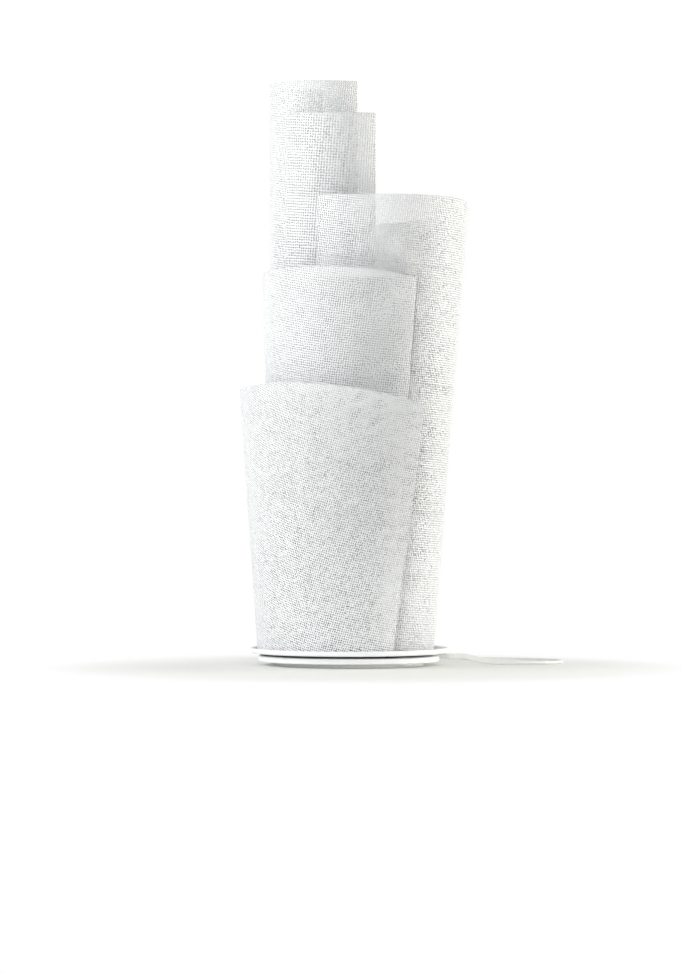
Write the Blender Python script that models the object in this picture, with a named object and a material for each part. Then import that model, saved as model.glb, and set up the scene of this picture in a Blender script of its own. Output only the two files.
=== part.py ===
"""Table lamp with five bent, perforated sheets that stand round a bulb on a stacked round base.

Metres, +Z up. The origin is the centre of the foot pad's underside, the camera side of the lamp is -Y.
A plain grid of openings in each sheet stands for its fine perforation.
"""

import math

import bmesh
import bpy
import numpy as np
from mathutils import Matrix, Vector

MM = 0.001
DEG = math.pi / 180.0

# Shared fits
FIT = 0.3 * MM
OVERRUN = 2.0 * MM
MERGE = 0.001 * MM
SHARP_FROM = 35.0 * DEG

# Foot pad and base disc
TRAY_RADIUS = 104.8 * MM
DISC_SETBACK = 8.5 * MM
DISC_RADIUS = TRAY_RADIUS - DISC_SETBACK
PAD_SETBACK = 16.3 * MM
PAD_RADIUS = DISC_RADIUS - PAD_SETBACK
PAD_HEIGHT = 4.2 * MM
DISC_HEIGHT = 6.0 * MM
DISC_EDGE = 0.8 * MM
DISC_BOTTOM = PAD_HEIGHT + FIT
DISC_TOP = DISC_BOTTOM + DISC_HEIGHT

# Shadow gap and tray
SHADOW_GAP = 2.8 * MM
TRAY_SHEET = 1.5 * MM
TRAY_RIM = 5.4 * MM
TRAY_BEND = 1.2 * MM
TRAY_BOTTOM = DISC_TOP + SHADOW_GAP
TRAY_FLOOR = TRAY_BOTTOM + TRAY_SHEET

# Spacers and the screws through them
SPACER_COUNT = 3
SPACER_RADIUS = 6.0 * MM
SPACER_SETBACK = 8.3 * MM
SPACER_CIRCLE = DISC_RADIUS - SPACER_SETBACK
SPACER_TURN = 60.0 * DEG
BASE_SCREW_RADIUS = 2.0 * MM
BASE_SCREW_HEAD = 3.6 * MM
BASE_SCREW_HEAD_HEIGHT = 2.2 * MM
BASE_SCREW_TIP = 1.0 * MM

# Perforated sheets, the foot of each a step further in than the last
SHEET_SETBACK = 8.0 * MM
LOW_FOOT_RADIUS = TRAY_RADIUS - SHEET_SETBACK
MIDDLE_STEP = 16.2 * MM
MIDDLE_FOOT_RADIUS = LOW_FOOT_RADIUS - MIDDLE_STEP
RIGHT_STEP = 8.6 * MM
RIGHT_FOOT_RADIUS = MIDDLE_FOOT_RADIUS - RIGHT_STEP
INNER_STEP = 10.0 * MM
INNER_FOOT_RADIUS = RIGHT_FOOT_RADIUS - INNER_STEP
TALL_STEP = 6.0 * MM
TALL_FOOT_RADIUS = INNER_FOOT_RADIUS - TALL_STEP
SHEET_THICKNESS = 1.0 * MM
SHEET_FOOT = TRAY_FLOOR + FIT
TAB_WIDTH = 9.0 * MM
TAB_REACH = 9.0 * MM
TAB_THICKNESS = 1.0 * MM
TAB_SCREW_RADIUS = 1.6 * MM
TAB_SCREW_HEAD = 2.8 * MM
TAB_SCREW_HEAD_HEIGHT = 1.6 * MM
TAB_SCREW_TIP = 1.2 * MM
TAB_SCREW_CROWN = 1.1 * MM
# The grid of openings in each sheet
OPENING_TURN = 24.0 * DEG
OPENING_RISE = 62.0 * MM
OPENING_WIDTH_SHARE = 0.48
OPENING_HEIGHT_SHARE = 0.42
OPENING_EDGE = 8.0 * MM
OPENING_FOOT = 18.0 * MM
OPENING_RIM = 14.0 * MM

# Stem and lampholder
STEM_X = 8.0 * MM
STEM_Y = 36.0 * MM
STEM_RADIUS = 5.0 * MM
STEM_BORE = 3.6 * MM
STEM_LENGTH = 224.0 * MM
STEM_BELOW_TRAY = 4.0 * MM
NUT_ACROSS = 14.0 * MM
NUT_HEIGHT = 3.0 * MM
WASHER_RADIUS = 10.0 * MM
WASHER_HEIGHT = 1.2 * MM
WIRE_POCKET = 13.0 * MM

HOLDER_RADIUS = 20.5 * MM
HOLDER_WALL = 2.0 * MM
HOLDER_CAP_HEIGHT = 24.0 * MM
HOLDER_CAP_NECK = 9.0 * MM
HOLDER_SHOULDER = 15.4 * MM
HOLDER_SHOULDER_RISE = 4.5 * MM
HOLDER_LIP = 1.2 * MM
HOLDER_SHELL_HEIGHT = 34.0 * MM
HOLDER_CORE_RADIUS = 17.6 * MM
HOLDER_CORE_BASE = 5.0 * MM
HOLDER_SOCKET_DEPTH = 24.0 * MM

# Bulb
BULB_CAP_RADIUS = 13.2 * MM
BULB_CAP_FOOT = 9.2 * MM
BULB_CAP_HEIGHT = 24.0 * MM
BULB_THREADS = 5
BULB_THREAD_DEPTH = 0.7 * MM
BULB_RADIUS = 30.0 * MM
BULB_HEIGHT = 84.0 * MM
BULB_NECK = 12.6 * MM
BULB_WALL = 1.2 * MM
BULB_NECK_TURN = -39.0 * DEG
BULB_CONTACT_RADIUS = 5.0 * MM
BULB_CONTACT_HEIGHT = 2.0 * MM

# Flat twin flex
CORD_WIDTH = 6.0 * MM
CORD_THICKNESS = 3.4 * MM
CORD_STAND = CORD_WIDTH / 2
CORD_END_GAP = FIT
CORD_STEP = 9.0 * MM
CORD_FLAT = 90.0 * DEG
# Where along each stretch the flex stands on edge, at zero, or lies flat
RUN_TILT_SHARES = ((0.0, 0.0), (0.06, 0.0), (0.26, CORD_FLAT), (1.0, CORD_FLAT))
LINK_TILT_SHARES = ((0.0, CORD_FLAT), (0.15, CORD_FLAT), (0.9, 0.0), (1.0, 0.0))
TAIL_TILT_SHARES = ((0.0, 0.0), (0.1, 0.0), (0.85, CORD_FLAT), (1.0, CORD_FLAT))
MID_SHARE = 0.5
BEND_SHARE = 0.35
LINK_RISE_SHARE = 0.7
CHANNEL_DEPTH = 4.5 * MM
CHANNEL_WIDTH = 6.4 * MM
LANDING_SETBACK = 7.3 * MM
LANDING_X = DISC_RADIUS - LANDING_SETBACK
LANDING_HALF_WIDTH = 12.0 * MM
CORD_LEVEL = DISC_TOP - CHANNEL_DEPTH + FIT + CORD_STAND
SLEEVE_INSIDE = 11.0 * MM
SLEEVE_OUTSIDE = 27.0 * MM
SLEEVE_INNER_X = LANDING_X - SLEEVE_INSIDE
SLEEVE_OUTER_X = LANDING_X + SLEEVE_OUTSIDE
SLEEVE_CORNER_SHARE = 0.3
SLEEVE_WIDTH = 5.4 * MM
SLEEVE_HEIGHT = 6.8 * MM
SLEEVE_TIP_WIDTH = 4.4 * MM
SLEEVE_TIP_HEIGHT = 6.4 * MM
SLEEVE_FLANGE = 1.2 * MM
CORE_RADIUS = 1.1 * MM
CORE_SPREAD = 1.5 * MM
CORE_BEND = 5.0 * MM
CORE_FAN_SHARE = 3.0

# Coil of the put-away length
COIL_X = -45.0 * MM
COIL_Y = 152.0 * MM
COIL_OUTER = 38.0 * MM
COIL_TURNS = 6.5
COIL_PITCH = 4.1 * MM
COIL_LAYER = 6.8 * MM
COIL_POINTS = 24
COIL_CLIMB_TURNS = 0.5
TIE_WIDTH = 8.0 * MM
TIE_THICKNESS = 0.9 * MM
COIL_LEVEL = CORD_STAND + TIE_THICKNESS + 2 * FIT
TIE_ANGLE = 180.0 * DEG
TIE_CORNER_SHARE = 0.35

# In-line switch
SWITCH_X = 36.0 * MM
SWITCH_Y = 124.0 * MM
SWITCH_LENGTH = 60.0 * MM
SWITCH_WIDTH = 26.0 * MM
SWITCH_LOWER_HEIGHT = 8.0 * MM
SWITCH_UPPER_HEIGHT = 8.4 * MM
SWITCH_WALL = 2.0 * MM
SWITCH_CORNER = 5.0 * MM
SWITCH_EDGE = 1.4 * MM
SWITCH_SIT = FIT
SWITCH_ROOM = 36.0 * MM
ROCKER_LENGTH = 20.0 * MM
ROCKER_WIDTH = 10.4 * MM
ROCKER_TILT = 8.0 * DEG
ROCKER_CLEARANCE = 0.6 * MM
ROCKER_STAND = 2.6 * MM
ROCKER_DEPTH = 3.4 * MM
ROCKER_DISH = 1.2 * MM
ROCKER_FOOT = 9.0 * MM
ROCKER_PIN = 1.2 * MM
ROCKER_PIN_LENGTH = 2.0 * MM
SWITCH_SCREW_RADIUS = 1.2 * MM
SWITCH_SCREW_HEAD = 2.3 * MM
SWITCH_SCREW_DEPTH = 1.6 * MM
SWITCH_SCREW_LENGTH = 9.0 * MM
SWITCH_SCREW_INSET = 8.0 * MM

# Flat two-pin plug
PLUG_X = 30.0 * MM
PLUG_Y = 178.0 * MM
PLUG_LENGTH = 34.0 * MM
PLUG_WIDTH = 35.0 * MM
PLUG_HEIGHT = 13.6 * MM
# Stations along the plug: how far along it, how wide and how high it is there, as shares of its sizes
PLUG_STATION_SHARES = (
    (0.0, 0.28, 0.62), (0.2, 0.4, 0.8), (0.38, 0.64, 0.94), (0.55, 0.86, 1.0), (0.75, 1.0, 1.0),
)
PLUG_EDGE = 2.0 * MM
PLUG_SIT = FIT
PIN_RADIUS = 2.0 * MM
PIN_SLEEVE_RADIUS = 1.8 * MM
PIN_LENGTH = 19.0 * MM
PIN_SLEEVE = 10.0 * MM
PIN_SPACING = 18.6 * MM
PIN_SEAT = 6.0 * MM
PIN_POINT = 0.7 * MM

# Each sheet: the centre of its foot and of its top, its radius at the foot and how much wider it is at the
# top, its rim height, its free edge, its other end, the fall of its rim from the free edge to the other
# end, and where its foot tabs are, as shares of its sweep.
SHEETS = {
    "shade_front_low": {
        "foot": (0.0 * MM, 0.0 * MM),
        "top": (18.0 * MM, 4.0 * MM),
        "radius": LOW_FOOT_RADIUS,
        "flare": 37.2 * MM,
        "rim": 300.0 * MM,
        "free_edge": -62.0 * DEG,
        "far_end": -196.0 * DEG,
        "rim_fall": (22.5 * MM, 10.5 * MM, 3.0 * MM, 0.0 * MM, 3.0 * MM, 7.0 * MM, 12.0 * MM),
        "tab_shares": (0.16, 0.84),
    },
    "shade_front_middle": {
        "foot": (0.0 * MM, 0.0 * MM),
        "top": (14.6 * MM, 2.0 * MM),
        "radius": MIDDLE_FOOT_RADIUS,
        "flare": 25.5 * MM,
        "rim": 421.0 * MM,
        "free_edge": -58.0 * DEG,
        "far_end": -184.0 * DEG,
        "rim_fall": (11.5 * MM, 4.5 * MM, 0.5 * MM, 0.0 * MM, 1.0 * MM, 4.0 * MM, 8.0 * MM),
        "tab_shares": (0.5, 0.92),
    },
    "shade_right": {
        "foot": (17.5 * MM, 4.0 * MM),
        "top": (32.4 * MM, 12.0 * MM),
        "radius": RIGHT_FOOT_RADIUS,
        "flare": 23.0 * MM,
        "rim": 497.0 * MM,
        "free_edge": -134.0 * DEG,
        "far_end": 100.0 * DEG,
        "rim_fall": (0.0 * MM, 0.0 * MM, 0.5 * MM, 4.0 * MM, 13.0 * MM, 20.0 * MM, 24.0 * MM),
        "tab_shares": (0.3, 0.88),
    },
    "shade_inner_middle": {
        "foot": (-12.3 * MM, 18.0 * MM),
        "top": (-12.3 * MM, 18.0 * MM),
        "radius": INNER_FOOT_RADIUS,
        "flare": 0.0 * MM,
        "rim": 585.0 * MM,
        "free_edge": -49.8 * DEG,
        "far_end": -150.0 * DEG,
        "rim_fall": (0.0 * MM, 0.0 * MM, 0.0 * MM),
        "tab_shares": (0.2, 0.75),
    },
    "shade_inner_tall": {
        "foot": (-28.0 * MM, 36.0 * MM),
        "top": (-28.0 * MM, 36.0 * MM),
        "radius": TALL_FOOT_RADIUS,
        "flare": 0.0 * MM,
        "rim": 620.0 * MM,
        "free_edge": -49.3 * DEG,
        "far_end": -270.0 * DEG,
        "rim_fall": (0.0 * MM, 0.0 * MM, 0.0 * MM, 1.0 * MM, 2.0 * MM, 2.0 * MM, 2.0 * MM),
        "tab_shares": (0.3, 0.86),
    },
}

# Free cord: along the floor to the right, round a turn, and back behind the base to the switch.
RUN_ROUTE = (
    (SLEEVE_OUTER_X + CORD_END_GAP, 0.0 * MM, CORD_LEVEL),
    (124.0 * MM, 0.2 * MM, CORD_LEVEL - FIT),
    (134.0 * MM, 0.6 * MM, 6.6 * MM),
    (146.0 * MM, 1.2 * MM, 4.2 * MM),
    (160.0 * MM, 2.2 * MM, 3.2 * MM),
    (176.0 * MM, 4.0 * MM, 3.0 * MM),
    (194.0 * MM, 8.0 * MM, 2.5 * MM),
    (211.0 * MM, 16.0 * MM, 2.0 * MM),
    (223.0 * MM, 29.0 * MM, 1.8 * MM),
    (227.0 * MM, 46.0 * MM, 1.8 * MM),
    (222.0 * MM, 63.0 * MM, 1.8 * MM),
    (209.0 * MM, 77.0 * MM, 1.8 * MM),
    (191.0 * MM, 88.0 * MM, 1.8 * MM),
    (170.0 * MM, 97.0 * MM, 1.8 * MM),
    (148.0 * MM, 105.0 * MM, 1.9 * MM),
    (126.0 * MM, 112.0 * MM, 2.2 * MM),
    (105.0 * MM, 118.0 * MM, 3.8 * MM),
    (88.0 * MM, 122.0 * MM, 6.6 * MM),
    (76.0 * MM, 123.8 * MM, 8.1 * MM),
)


def material(name, colour, roughness, metallic=0.0):
    """A Principled material of the piece's own."""
    made = bpy.data.materials.new(name)
    made.use_nodes = True
    shader = made.node_tree.nodes["Principled BSDF"]
    shader.inputs["Base Color"].default_value = (*colour, 1.0)
    shader.inputs["Roughness"].default_value = roughness
    shader.inputs["Metallic"].default_value = metallic
    made.diffuse_color = (*colour, 1.0)
    return made


# Finishes: colour, roughness and, for bare metal, metallic
SHEET_COAT = ((0.86, 0.87, 0.88), 0.45)
BASE_COAT = ((0.86, 0.87, 0.88), 0.4)
WHITE_MOULDING = ((0.86, 0.87, 0.88), 0.35)
CREAM_MOULDING = ((0.88, 0.87, 0.84), 0.5)
ZINC = ((0.62, 0.62, 0.63), 0.35, 1.0)
BRASS = ((0.78, 0.62, 0.32), 0.3, 1.0)
RUBBER = ((0.04, 0.04, 0.045), 0.8)
PALE_RUBBER = ((0.74, 0.74, 0.72), 0.7)
WOVEN_BLACK = ((0.04, 0.04, 0.045), 0.9)
OPAL_GLASS = ((0.93, 0.92, 0.88), 0.25)
CORD_SHEATH = ((0.82, 0.82, 0.80), 0.5)
BLUE_CORE = ((0.05, 0.12, 0.4), 0.4)
BROWN_CORE = ((0.22, 0.1, 0.05), 0.4)


def add_object(name, mesh, finish, location=(0.0, 0.0, 0.0), rotation=(0.0, 0.0, 0.0)):
    """Link a mesh to the scene as the named sub-part with its own material."""
    made = bpy.data.objects.new(name, mesh)
    made.location = location
    made.rotation_euler = rotation
    mesh.materials.append(material(name, *finish))
    mesh.shade_smooth()
    mesh.set_sharp_from_angle(angle=SHARP_FROM)
    bpy.context.scene.collection.objects.link(made)
    return made


def to_mesh(bm, name):
    """Close a bmesh with its faces pointing out."""
    bmesh.ops.remove_doubles(bm, verts=bm.verts, dist=MERGE)
    bmesh.ops.recalc_face_normals(bm, faces=bm.faces)
    mesh = bpy.data.meshes.new(name)
    bm.to_mesh(mesh)
    bm.free()
    return mesh


def turned_into(bm, outline, sides, centre=(0.0, 0.0), closed=True):
    """Turn an outline of (radius, height) points round a vertical axis. A closed outline makes a ring."""
    rings = []
    for radius, height in outline:
        if radius < MERGE:
            rings.append([bm.verts.new((centre[0], centre[1], height))])
            continue
        ring = []
        for i in range(sides):
            turn = 2 * math.pi * i / sides
            ring.append(bm.verts.new((
                centre[0] + radius * math.cos(turn),
                centre[1] + radius * math.sin(turn),
                height,
            )))
        rings.append(ring)
    pairs = list(zip(rings, rings[1:]))
    if closed:
        pairs.append((rings[-1], rings[0]))
    for lower, upper in pairs:
        if len(lower) == 1 and len(upper) == 1:
            continue
        for i in range(sides):
            j = (i + 1) % sides
            corners = [ring[k % len(ring)] for ring, k in ((lower, i), (lower, j), (upper, j), (upper, i))]
            bm.faces.new(list(dict.fromkeys(corners)))


def turned(name, outline, sides, finish, centre=(0.0, 0.0), closed=True):
    """A turned piece as an object of its own."""
    bm = bmesh.new()
    turned_into(bm, outline, sides, centre, closed)
    return add_object(name, to_mesh(bm, name), finish)


def turned_copies(name, outline, sides, finish, places, closed=False):
    """Equal turned pieces, each an object of its own at its place, on one shared mesh."""
    bm = bmesh.new()
    turned_into(bm, outline, sides, closed=closed)
    mesh = to_mesh(bm, name)
    first = add_object(f"{name}_1", mesh, finish, places[0])
    made = [first]
    for number, place in enumerate(places[1:], start=2):
        copy = bpy.data.objects.new(f"{name}_{number}", mesh)
        copy.location = place
        bpy.context.scene.collection.objects.link(copy)
        made.append(copy)
    return made


def cylinder_outline(radius, bottom, top, edge=0.0):
    """The outline of a plain cylinder, with a chamfer where an edge is given."""
    if edge <= 0:
        return [(0.0, bottom), (radius, bottom), (radius, top), (0.0, top)]
    return [
        (0.0, bottom), (radius - edge, bottom), (radius, bottom + edge),
        (radius, top - edge), (radius - edge, top), (0.0, top),
    ]


def cutter(name, bm):
    """A hidden shape that other pieces are cut with."""
    made = bpy.data.objects.new(name, to_mesh(bm, name))
    made.hide_render = True
    made.display_type = "WIRE"
    bpy.context.scene.collection.objects.link(made)
    made.hide_set(True)
    return made


def cut(piece, tool, operation="DIFFERENCE"):
    """Cut, or join, a piece with another shape."""
    modifier = piece.modifiers.new(tool.name, "BOOLEAN")
    modifier.operation = operation
    modifier.solver = "EXACT"
    modifier.object = tool


def box_into(bm, low, high, matrix=None):
    """Add a box between two corners, moved by a matrix where one is given."""
    size = [high[i] - low[i] for i in range(3)]
    middle = [(high[i] + low[i]) / 2 for i in range(3)]
    place = Matrix.Translation(middle) @ Matrix.Diagonal((*size, 1.0))
    bmesh.ops.create_cube(bm, size=1.0, matrix=(matrix or Matrix.Identity(4)) @ place)


def rounded_outline(length, width, corner, steps=4):
    """Points round a rectangle with round corners, counter-clockwise."""
    points = []
    for corner_index in range(4):
        start = corner_index * math.pi / 2
        sign_x = 1 if corner_index in (0, 3) else -1
        sign_y = 1 if corner_index in (0, 1) else -1
        for i in range(steps + 1):
            turn = start + math.pi / 2 * i / steps
            points.append((
                sign_x * (length / 2 - corner) + corner * math.cos(turn),
                sign_y * (width / 2 - corner) + corner * math.sin(turn),
            ))
    return points


def prism_into(bm, rings, matrix=None):
    """Join rings of points, one above the other, into a closed body."""
    matrix = matrix or Matrix.Identity(4)
    made = [[bm.verts.new(matrix @ Vector(point)) for point in ring] for ring in rings]
    count = len(made[0])
    for lower, upper in zip(made, made[1:]):
        for i in range(count):
            j = (i + 1) % count
            bm.faces.new((lower[i], lower[j], upper[j], upper[i]))
    bm.faces.new(made[0][::-1])
    bm.faces.new(made[-1])


def cylinder_into(bm, radius, bottom, top, centre, sides=12):
    """Add a plain upright cylinder."""
    turned_into(bm, cylinder_outline(radius, bottom, top), sides, centre, closed=False)


def smooth_route(points, spacing):
    """Evenly spaced points on one smooth curve through the given points."""
    route = np.array(points, dtype=float)
    ends = [2 * route[0] - route[1], *route, 2 * route[-1] - route[-2]]
    dense = []
    steps = 24
    for a, b, c, d in zip(ends, ends[1:], ends[2:], ends[3:]):
        for i in range(steps):
            t = i / steps
            dense.append(0.5 * (
                2 * b + (c - a) * t + (2 * a - 5 * b + 4 * c - d) * t**2 + (3 * b - a - 3 * c + d) * t**3
            ))
    dense.append(route[-1])
    dense = np.array(dense)
    lengths = np.concatenate([[0], np.cumsum(np.linalg.norm(np.diff(dense, axis=0), axis=1))])
    count = max(2, round(lengths[-1] / spacing))
    at = np.linspace(0, lengths[-1], count + 1)
    return np.stack([np.interp(at, lengths, dense[:, axis]) for axis in range(3)], axis=1)


def route_length(points):
    """The length of a line of points."""
    return float(np.linalg.norm(np.diff(np.array(points), axis=0), axis=1).sum())


def flex(name, points, tilts, resolution, finish, width=CORD_WIDTH, thickness=CORD_THICKNESS):
    """A flat flex, or a round lead, along a line of points. A tilt of zero stands a flat one on its edge."""
    data = bpy.data.curves.new(name, "CURVE")
    data.dimensions = "3D"
    data.twist_mode = "Z_UP" if width > thickness else "MINIMUM"
    data.fill_mode = "FULL"
    data.bevel_depth = thickness / 2
    data.extrude = (width - thickness) / 2
    data.bevel_resolution = resolution
    data.use_fill_caps = True
    spline = data.splines.new("POLY")
    spline.points.add(len(points) - 1)
    for point, place, tilt in zip(spline.points, points, tilts):
        point.co = (*place, 1.0)
        point.tilt = tilt
    made = bpy.data.objects.new(name, data)
    data.materials.append(material(name, *finish))
    bpy.context.scene.collection.objects.link(made)
    return made


def flex_tilts(count, stations):
    """Tilts along a flex, eased between (share of its length, tilt) stations."""
    shares = [share for share, _ in stations]
    values = [tilt for _, tilt in stations]
    tilts = []
    for i in range(count):
        share = i / (count - 1)
        at = max(k for k in range(len(shares)) if shares[k] <= share)
        if at == len(shares) - 1:
            tilts.append(values[-1])
            continue
        t = (share - shares[at]) / (shares[at + 1] - shares[at])
        ease = t * t * (3 - 2 * t)
        tilts.append(values[at] + (values[at + 1] - values[at]) * ease)
    return tilts


def between(a, b, share):
    """A value between two others."""
    return a + (b - a) * share


def eased_value(values, share):
    """A smooth value through evenly spaced ones, at a share from 0 to 1."""
    place = share * (len(values) - 1)
    at = min(int(place), len(values) - 2)
    t = place - at
    before = values[max(at - 1, 0)]
    after = values[min(at + 2, len(values) - 1)]
    b, c = values[at], values[at + 1]
    return 0.5 * (2 * b + (c - before) * t + (2 * before - 5 * b + 4 * c - after) * t**2
                  + (3 * b - before - 3 * c + after) * t**3)


def sheet_point(sheet, share, height):
    """The middle of a sheet's wall at a share of its sweep and a height, and its turn there."""
    rise = (height - SHEET_FOOT) / (sheet["rim"] - SHEET_FOOT)
    x, y = (between(a, b, rise) for a, b in zip(sheet["foot"], sheet["top"]))
    radius = sheet["radius"] + sheet["flare"] * rise
    turn = between(sheet["free_edge"], sheet["far_end"], share)
    return Vector((x + radius * math.cos(turn), y + radius * math.sin(turn), height)), turn


def opening_shares(length, first, last, pitch, open_share):
    """Where equal openings start and end between two margins of a length, as shares of it, ends included."""
    room = length - first - last
    count = max(1, round(room / pitch))
    step = room / (count - 1 + open_share)
    shares = [0.0]
    for i in range(count):
        shares += [(first + step * i) / length, (first + step * (i + open_share)) / length]
    return shares + [1.0]


def bent_sheet(name, sheet):
    """A sheet bent to a slightly flared open tube with a grid of openings, and foot tabs folded inwards."""
    bm = bmesh.new()
    sweep = abs(sheet["far_end"] - sheet["free_edge"])
    margin = OPENING_EDGE / sheet["radius"]
    across = opening_shares(sweep, margin, margin, OPENING_TURN, OPENING_WIDTH_SHARE)
    height = sheet["rim"] - SHEET_FOOT
    up = opening_shares(height, OPENING_FOOT, OPENING_RIM, OPENING_RISE, OPENING_HEIGHT_SHARE)
    grid = []
    for share in across:
        rim = sheet["rim"] - eased_value(sheet["rim_fall"], share)
        levels = [between(SHEET_FOOT, rim, rise) for rise in up]
        grid.append([bm.verts.new(sheet_point(sheet, share, level)[0]) for level in levels])
    for column, (left, right) in enumerate(zip(grid, grid[1:])):
        for row in range(len(up) - 1):
            if column % 2 and row % 2:
                continue
            bm.faces.new((left[row], right[row], right[row + 1], left[row + 1]))
    made = add_object(name, to_mesh(bm, name), SHEET_COAT)
    wall = made.modifiers.new("wall", "SOLIDIFY")
    wall.thickness = SHEET_THICKNESS
    wall.offset = 0.0
    wall.use_even_offset = True

    tabs = bmesh.new()
    holes = bmesh.new()
    for share in sheet["tab_shares"]:
        place = tab_place(sheet, share)
        box_into(tabs, (-TAB_REACH, -TAB_WIDTH / 2, 0.0), (0.0, TAB_WIDTH / 2, TAB_THICKNESS), place)
        centre = place @ Vector((-TAB_REACH / 2, 0.0, 0.0))
        cylinder_into(holes, TAB_SCREW_RADIUS + FIT, centre.z - OVERRUN, centre.z + TAB_THICKNESS + OVERRUN,
                      (centre.x, centre.y))
    whole = cutter(name + "_tabs", tabs)
    cut(made, whole, "UNION")
    cut(made, cutter(name + "_tab_holes", holes))
    return made


def tab_place(sheet, share):
    """The frame of a foot tab: its origin in the wall at the foot, +X outwards."""
    point, turn = sheet_point(sheet, share, SHEET_FOOT)
    return Matrix.Translation(point) @ Matrix.Rotation(turn, 4, "Z")


def tab_screw_places():
    """The centre of each tab screw, on top of its tab."""
    places = []
    for sheet in SHEETS.values():
        for share in sheet["tab_shares"]:
            places.append(tab_place(sheet, share) @ Vector((-TAB_REACH / 2, 0.0, TAB_THICKNESS)))
    return places


def spacer_places():
    """The centres of the spacers under the tray."""
    turns = [SPACER_TURN + 2 * math.pi * i / SPACER_COUNT for i in range(SPACER_COUNT)]
    return [(SPACER_CIRCLE * math.cos(turn), SPACER_CIRCLE * math.sin(turn)) for turn in turns]


def foot_pad():
    """The rubber pad that the lamp stands on."""
    outline = cylinder_outline(PAD_RADIUS, 0.0, PAD_HEIGHT, DISC_EDGE)
    turned("foot_pad", outline, 56, PALE_RUBBER, closed=False)


def base_disc():
    """The steel disc, with its cord channel, wiring pocket and screw holes."""
    outline = cylinder_outline(DISC_RADIUS, DISC_BOTTOM, DISC_TOP, DISC_EDGE)
    disc = turned("base_disc", outline, 72, BASE_COAT, closed=False)
    channel = bmesh.new()
    floor = DISC_TOP - CHANNEL_DEPTH
    box_into(channel, (STEM_X - CHANNEL_WIDTH / 2, -CHANNEL_WIDTH / 2, floor),
             (DISC_RADIUS + OVERRUN, CHANNEL_WIDTH / 2, DISC_TOP + OVERRUN))
    cut(disc, cutter("disc_channel", channel))
    cross = bmesh.new()
    box_into(cross, (STEM_X - WIRE_POCKET / 2, -CHANNEL_WIDTH / 2, floor),
             (STEM_X + WIRE_POCKET / 2, STEM_Y, DISC_TOP + OVERRUN))
    cut(disc, cutter("disc_cross_channel", cross))
    landing = bmesh.new()
    box_into(landing, (LANDING_X, -LANDING_HALF_WIDTH, floor),
             (DISC_RADIUS + OVERRUN, LANDING_HALF_WIDTH, DISC_TOP + OVERRUN))
    cut(disc, cutter("disc_landing", landing))
    holes = bmesh.new()
    seat = DISC_BOTTOM + BASE_SCREW_HEAD_HEIGHT
    for centre in spacer_places():
        turned_into(holes, [
            (0.0, DISC_BOTTOM - OVERRUN), (BASE_SCREW_HEAD + FIT, DISC_BOTTOM - OVERRUN),
            (BASE_SCREW_HEAD + FIT, seat), (BASE_SCREW_RADIUS + FIT, seat),
            (BASE_SCREW_RADIUS + FIT, DISC_TOP + OVERRUN), (0.0, DISC_TOP + OVERRUN),
        ], 14, centre, closed=False)
    cylinder_into(holes, WIRE_POCKET, DISC_BOTTOM - OVERRUN, DISC_TOP + OVERRUN, (STEM_X, STEM_Y), 28)
    cut(disc, cutter("disc_holes", holes))


def spacers():
    """The spacers that hold the shadow gap open."""
    hole = BASE_SCREW_RADIUS + FIT
    height = SHADOW_GAP - 2 * FIT
    places = [(x, y, DISC_TOP + FIT) for x, y in spacer_places()]
    turned_copies("gap_spacer", [(hole, 0.0), (SPACER_RADIUS, 0.0), (SPACER_RADIUS, height), (hole, height)],
                  16, RUBBER, places, closed=True)


def base_screws():
    """The screws from below that clamp the disc and the spacers to the tray's threaded holes."""
    head = BASE_SCREW_HEAD_HEIGHT - 2 * FIT
    bottom = DISC_BOTTOM + FIT
    tip = TRAY_FLOOR + BASE_SCREW_TIP - bottom
    places = [(x, y, bottom) for x, y in spacer_places()]
    turned_copies("base_screw", [
        (0.0, 0.0), (BASE_SCREW_HEAD, 0.0), (BASE_SCREW_HEAD, head), (BASE_SCREW_RADIUS, head),
        (BASE_SCREW_RADIUS, tip), (0.0, tip),
    ], 12, ZINC, places)


def tray():
    """The shallow pressed tray that carries the sheets."""
    inner = TRAY_RADIUS - TRAY_SHEET
    top = TRAY_BOTTOM + TRAY_RIM
    piece = turned("tray", [
        (0.0, TRAY_BOTTOM), (TRAY_RADIUS - TRAY_BEND, TRAY_BOTTOM), (TRAY_RADIUS, TRAY_BOTTOM + TRAY_BEND),
        (TRAY_RADIUS, top - TRAY_SHEET / 3), (TRAY_RADIUS - TRAY_SHEET / 3, top),
        (inner + TRAY_SHEET / 3, top), (inner, top - TRAY_SHEET / 3), (inner, TRAY_FLOOR), (0.0, TRAY_FLOOR),
    ], 72, BASE_COAT, closed=False)
    holes = bmesh.new()
    for centre in spacer_places():
        cylinder_into(holes, BASE_SCREW_RADIUS + FIT, TRAY_BOTTOM - OVERRUN, TRAY_FLOOR + OVERRUN, centre)
    for place in tab_screw_places():
        cylinder_into(holes, TAB_SCREW_RADIUS + FIT, TRAY_BOTTOM - OVERRUN, TRAY_FLOOR + OVERRUN, place.xy)
    cylinder_into(holes, STEM_RADIUS + FIT, TRAY_BOTTOM - OVERRUN, TRAY_FLOOR + OVERRUN, (STEM_X, STEM_Y), 24)
    cut(piece, cutter("tray_holes", holes))


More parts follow.
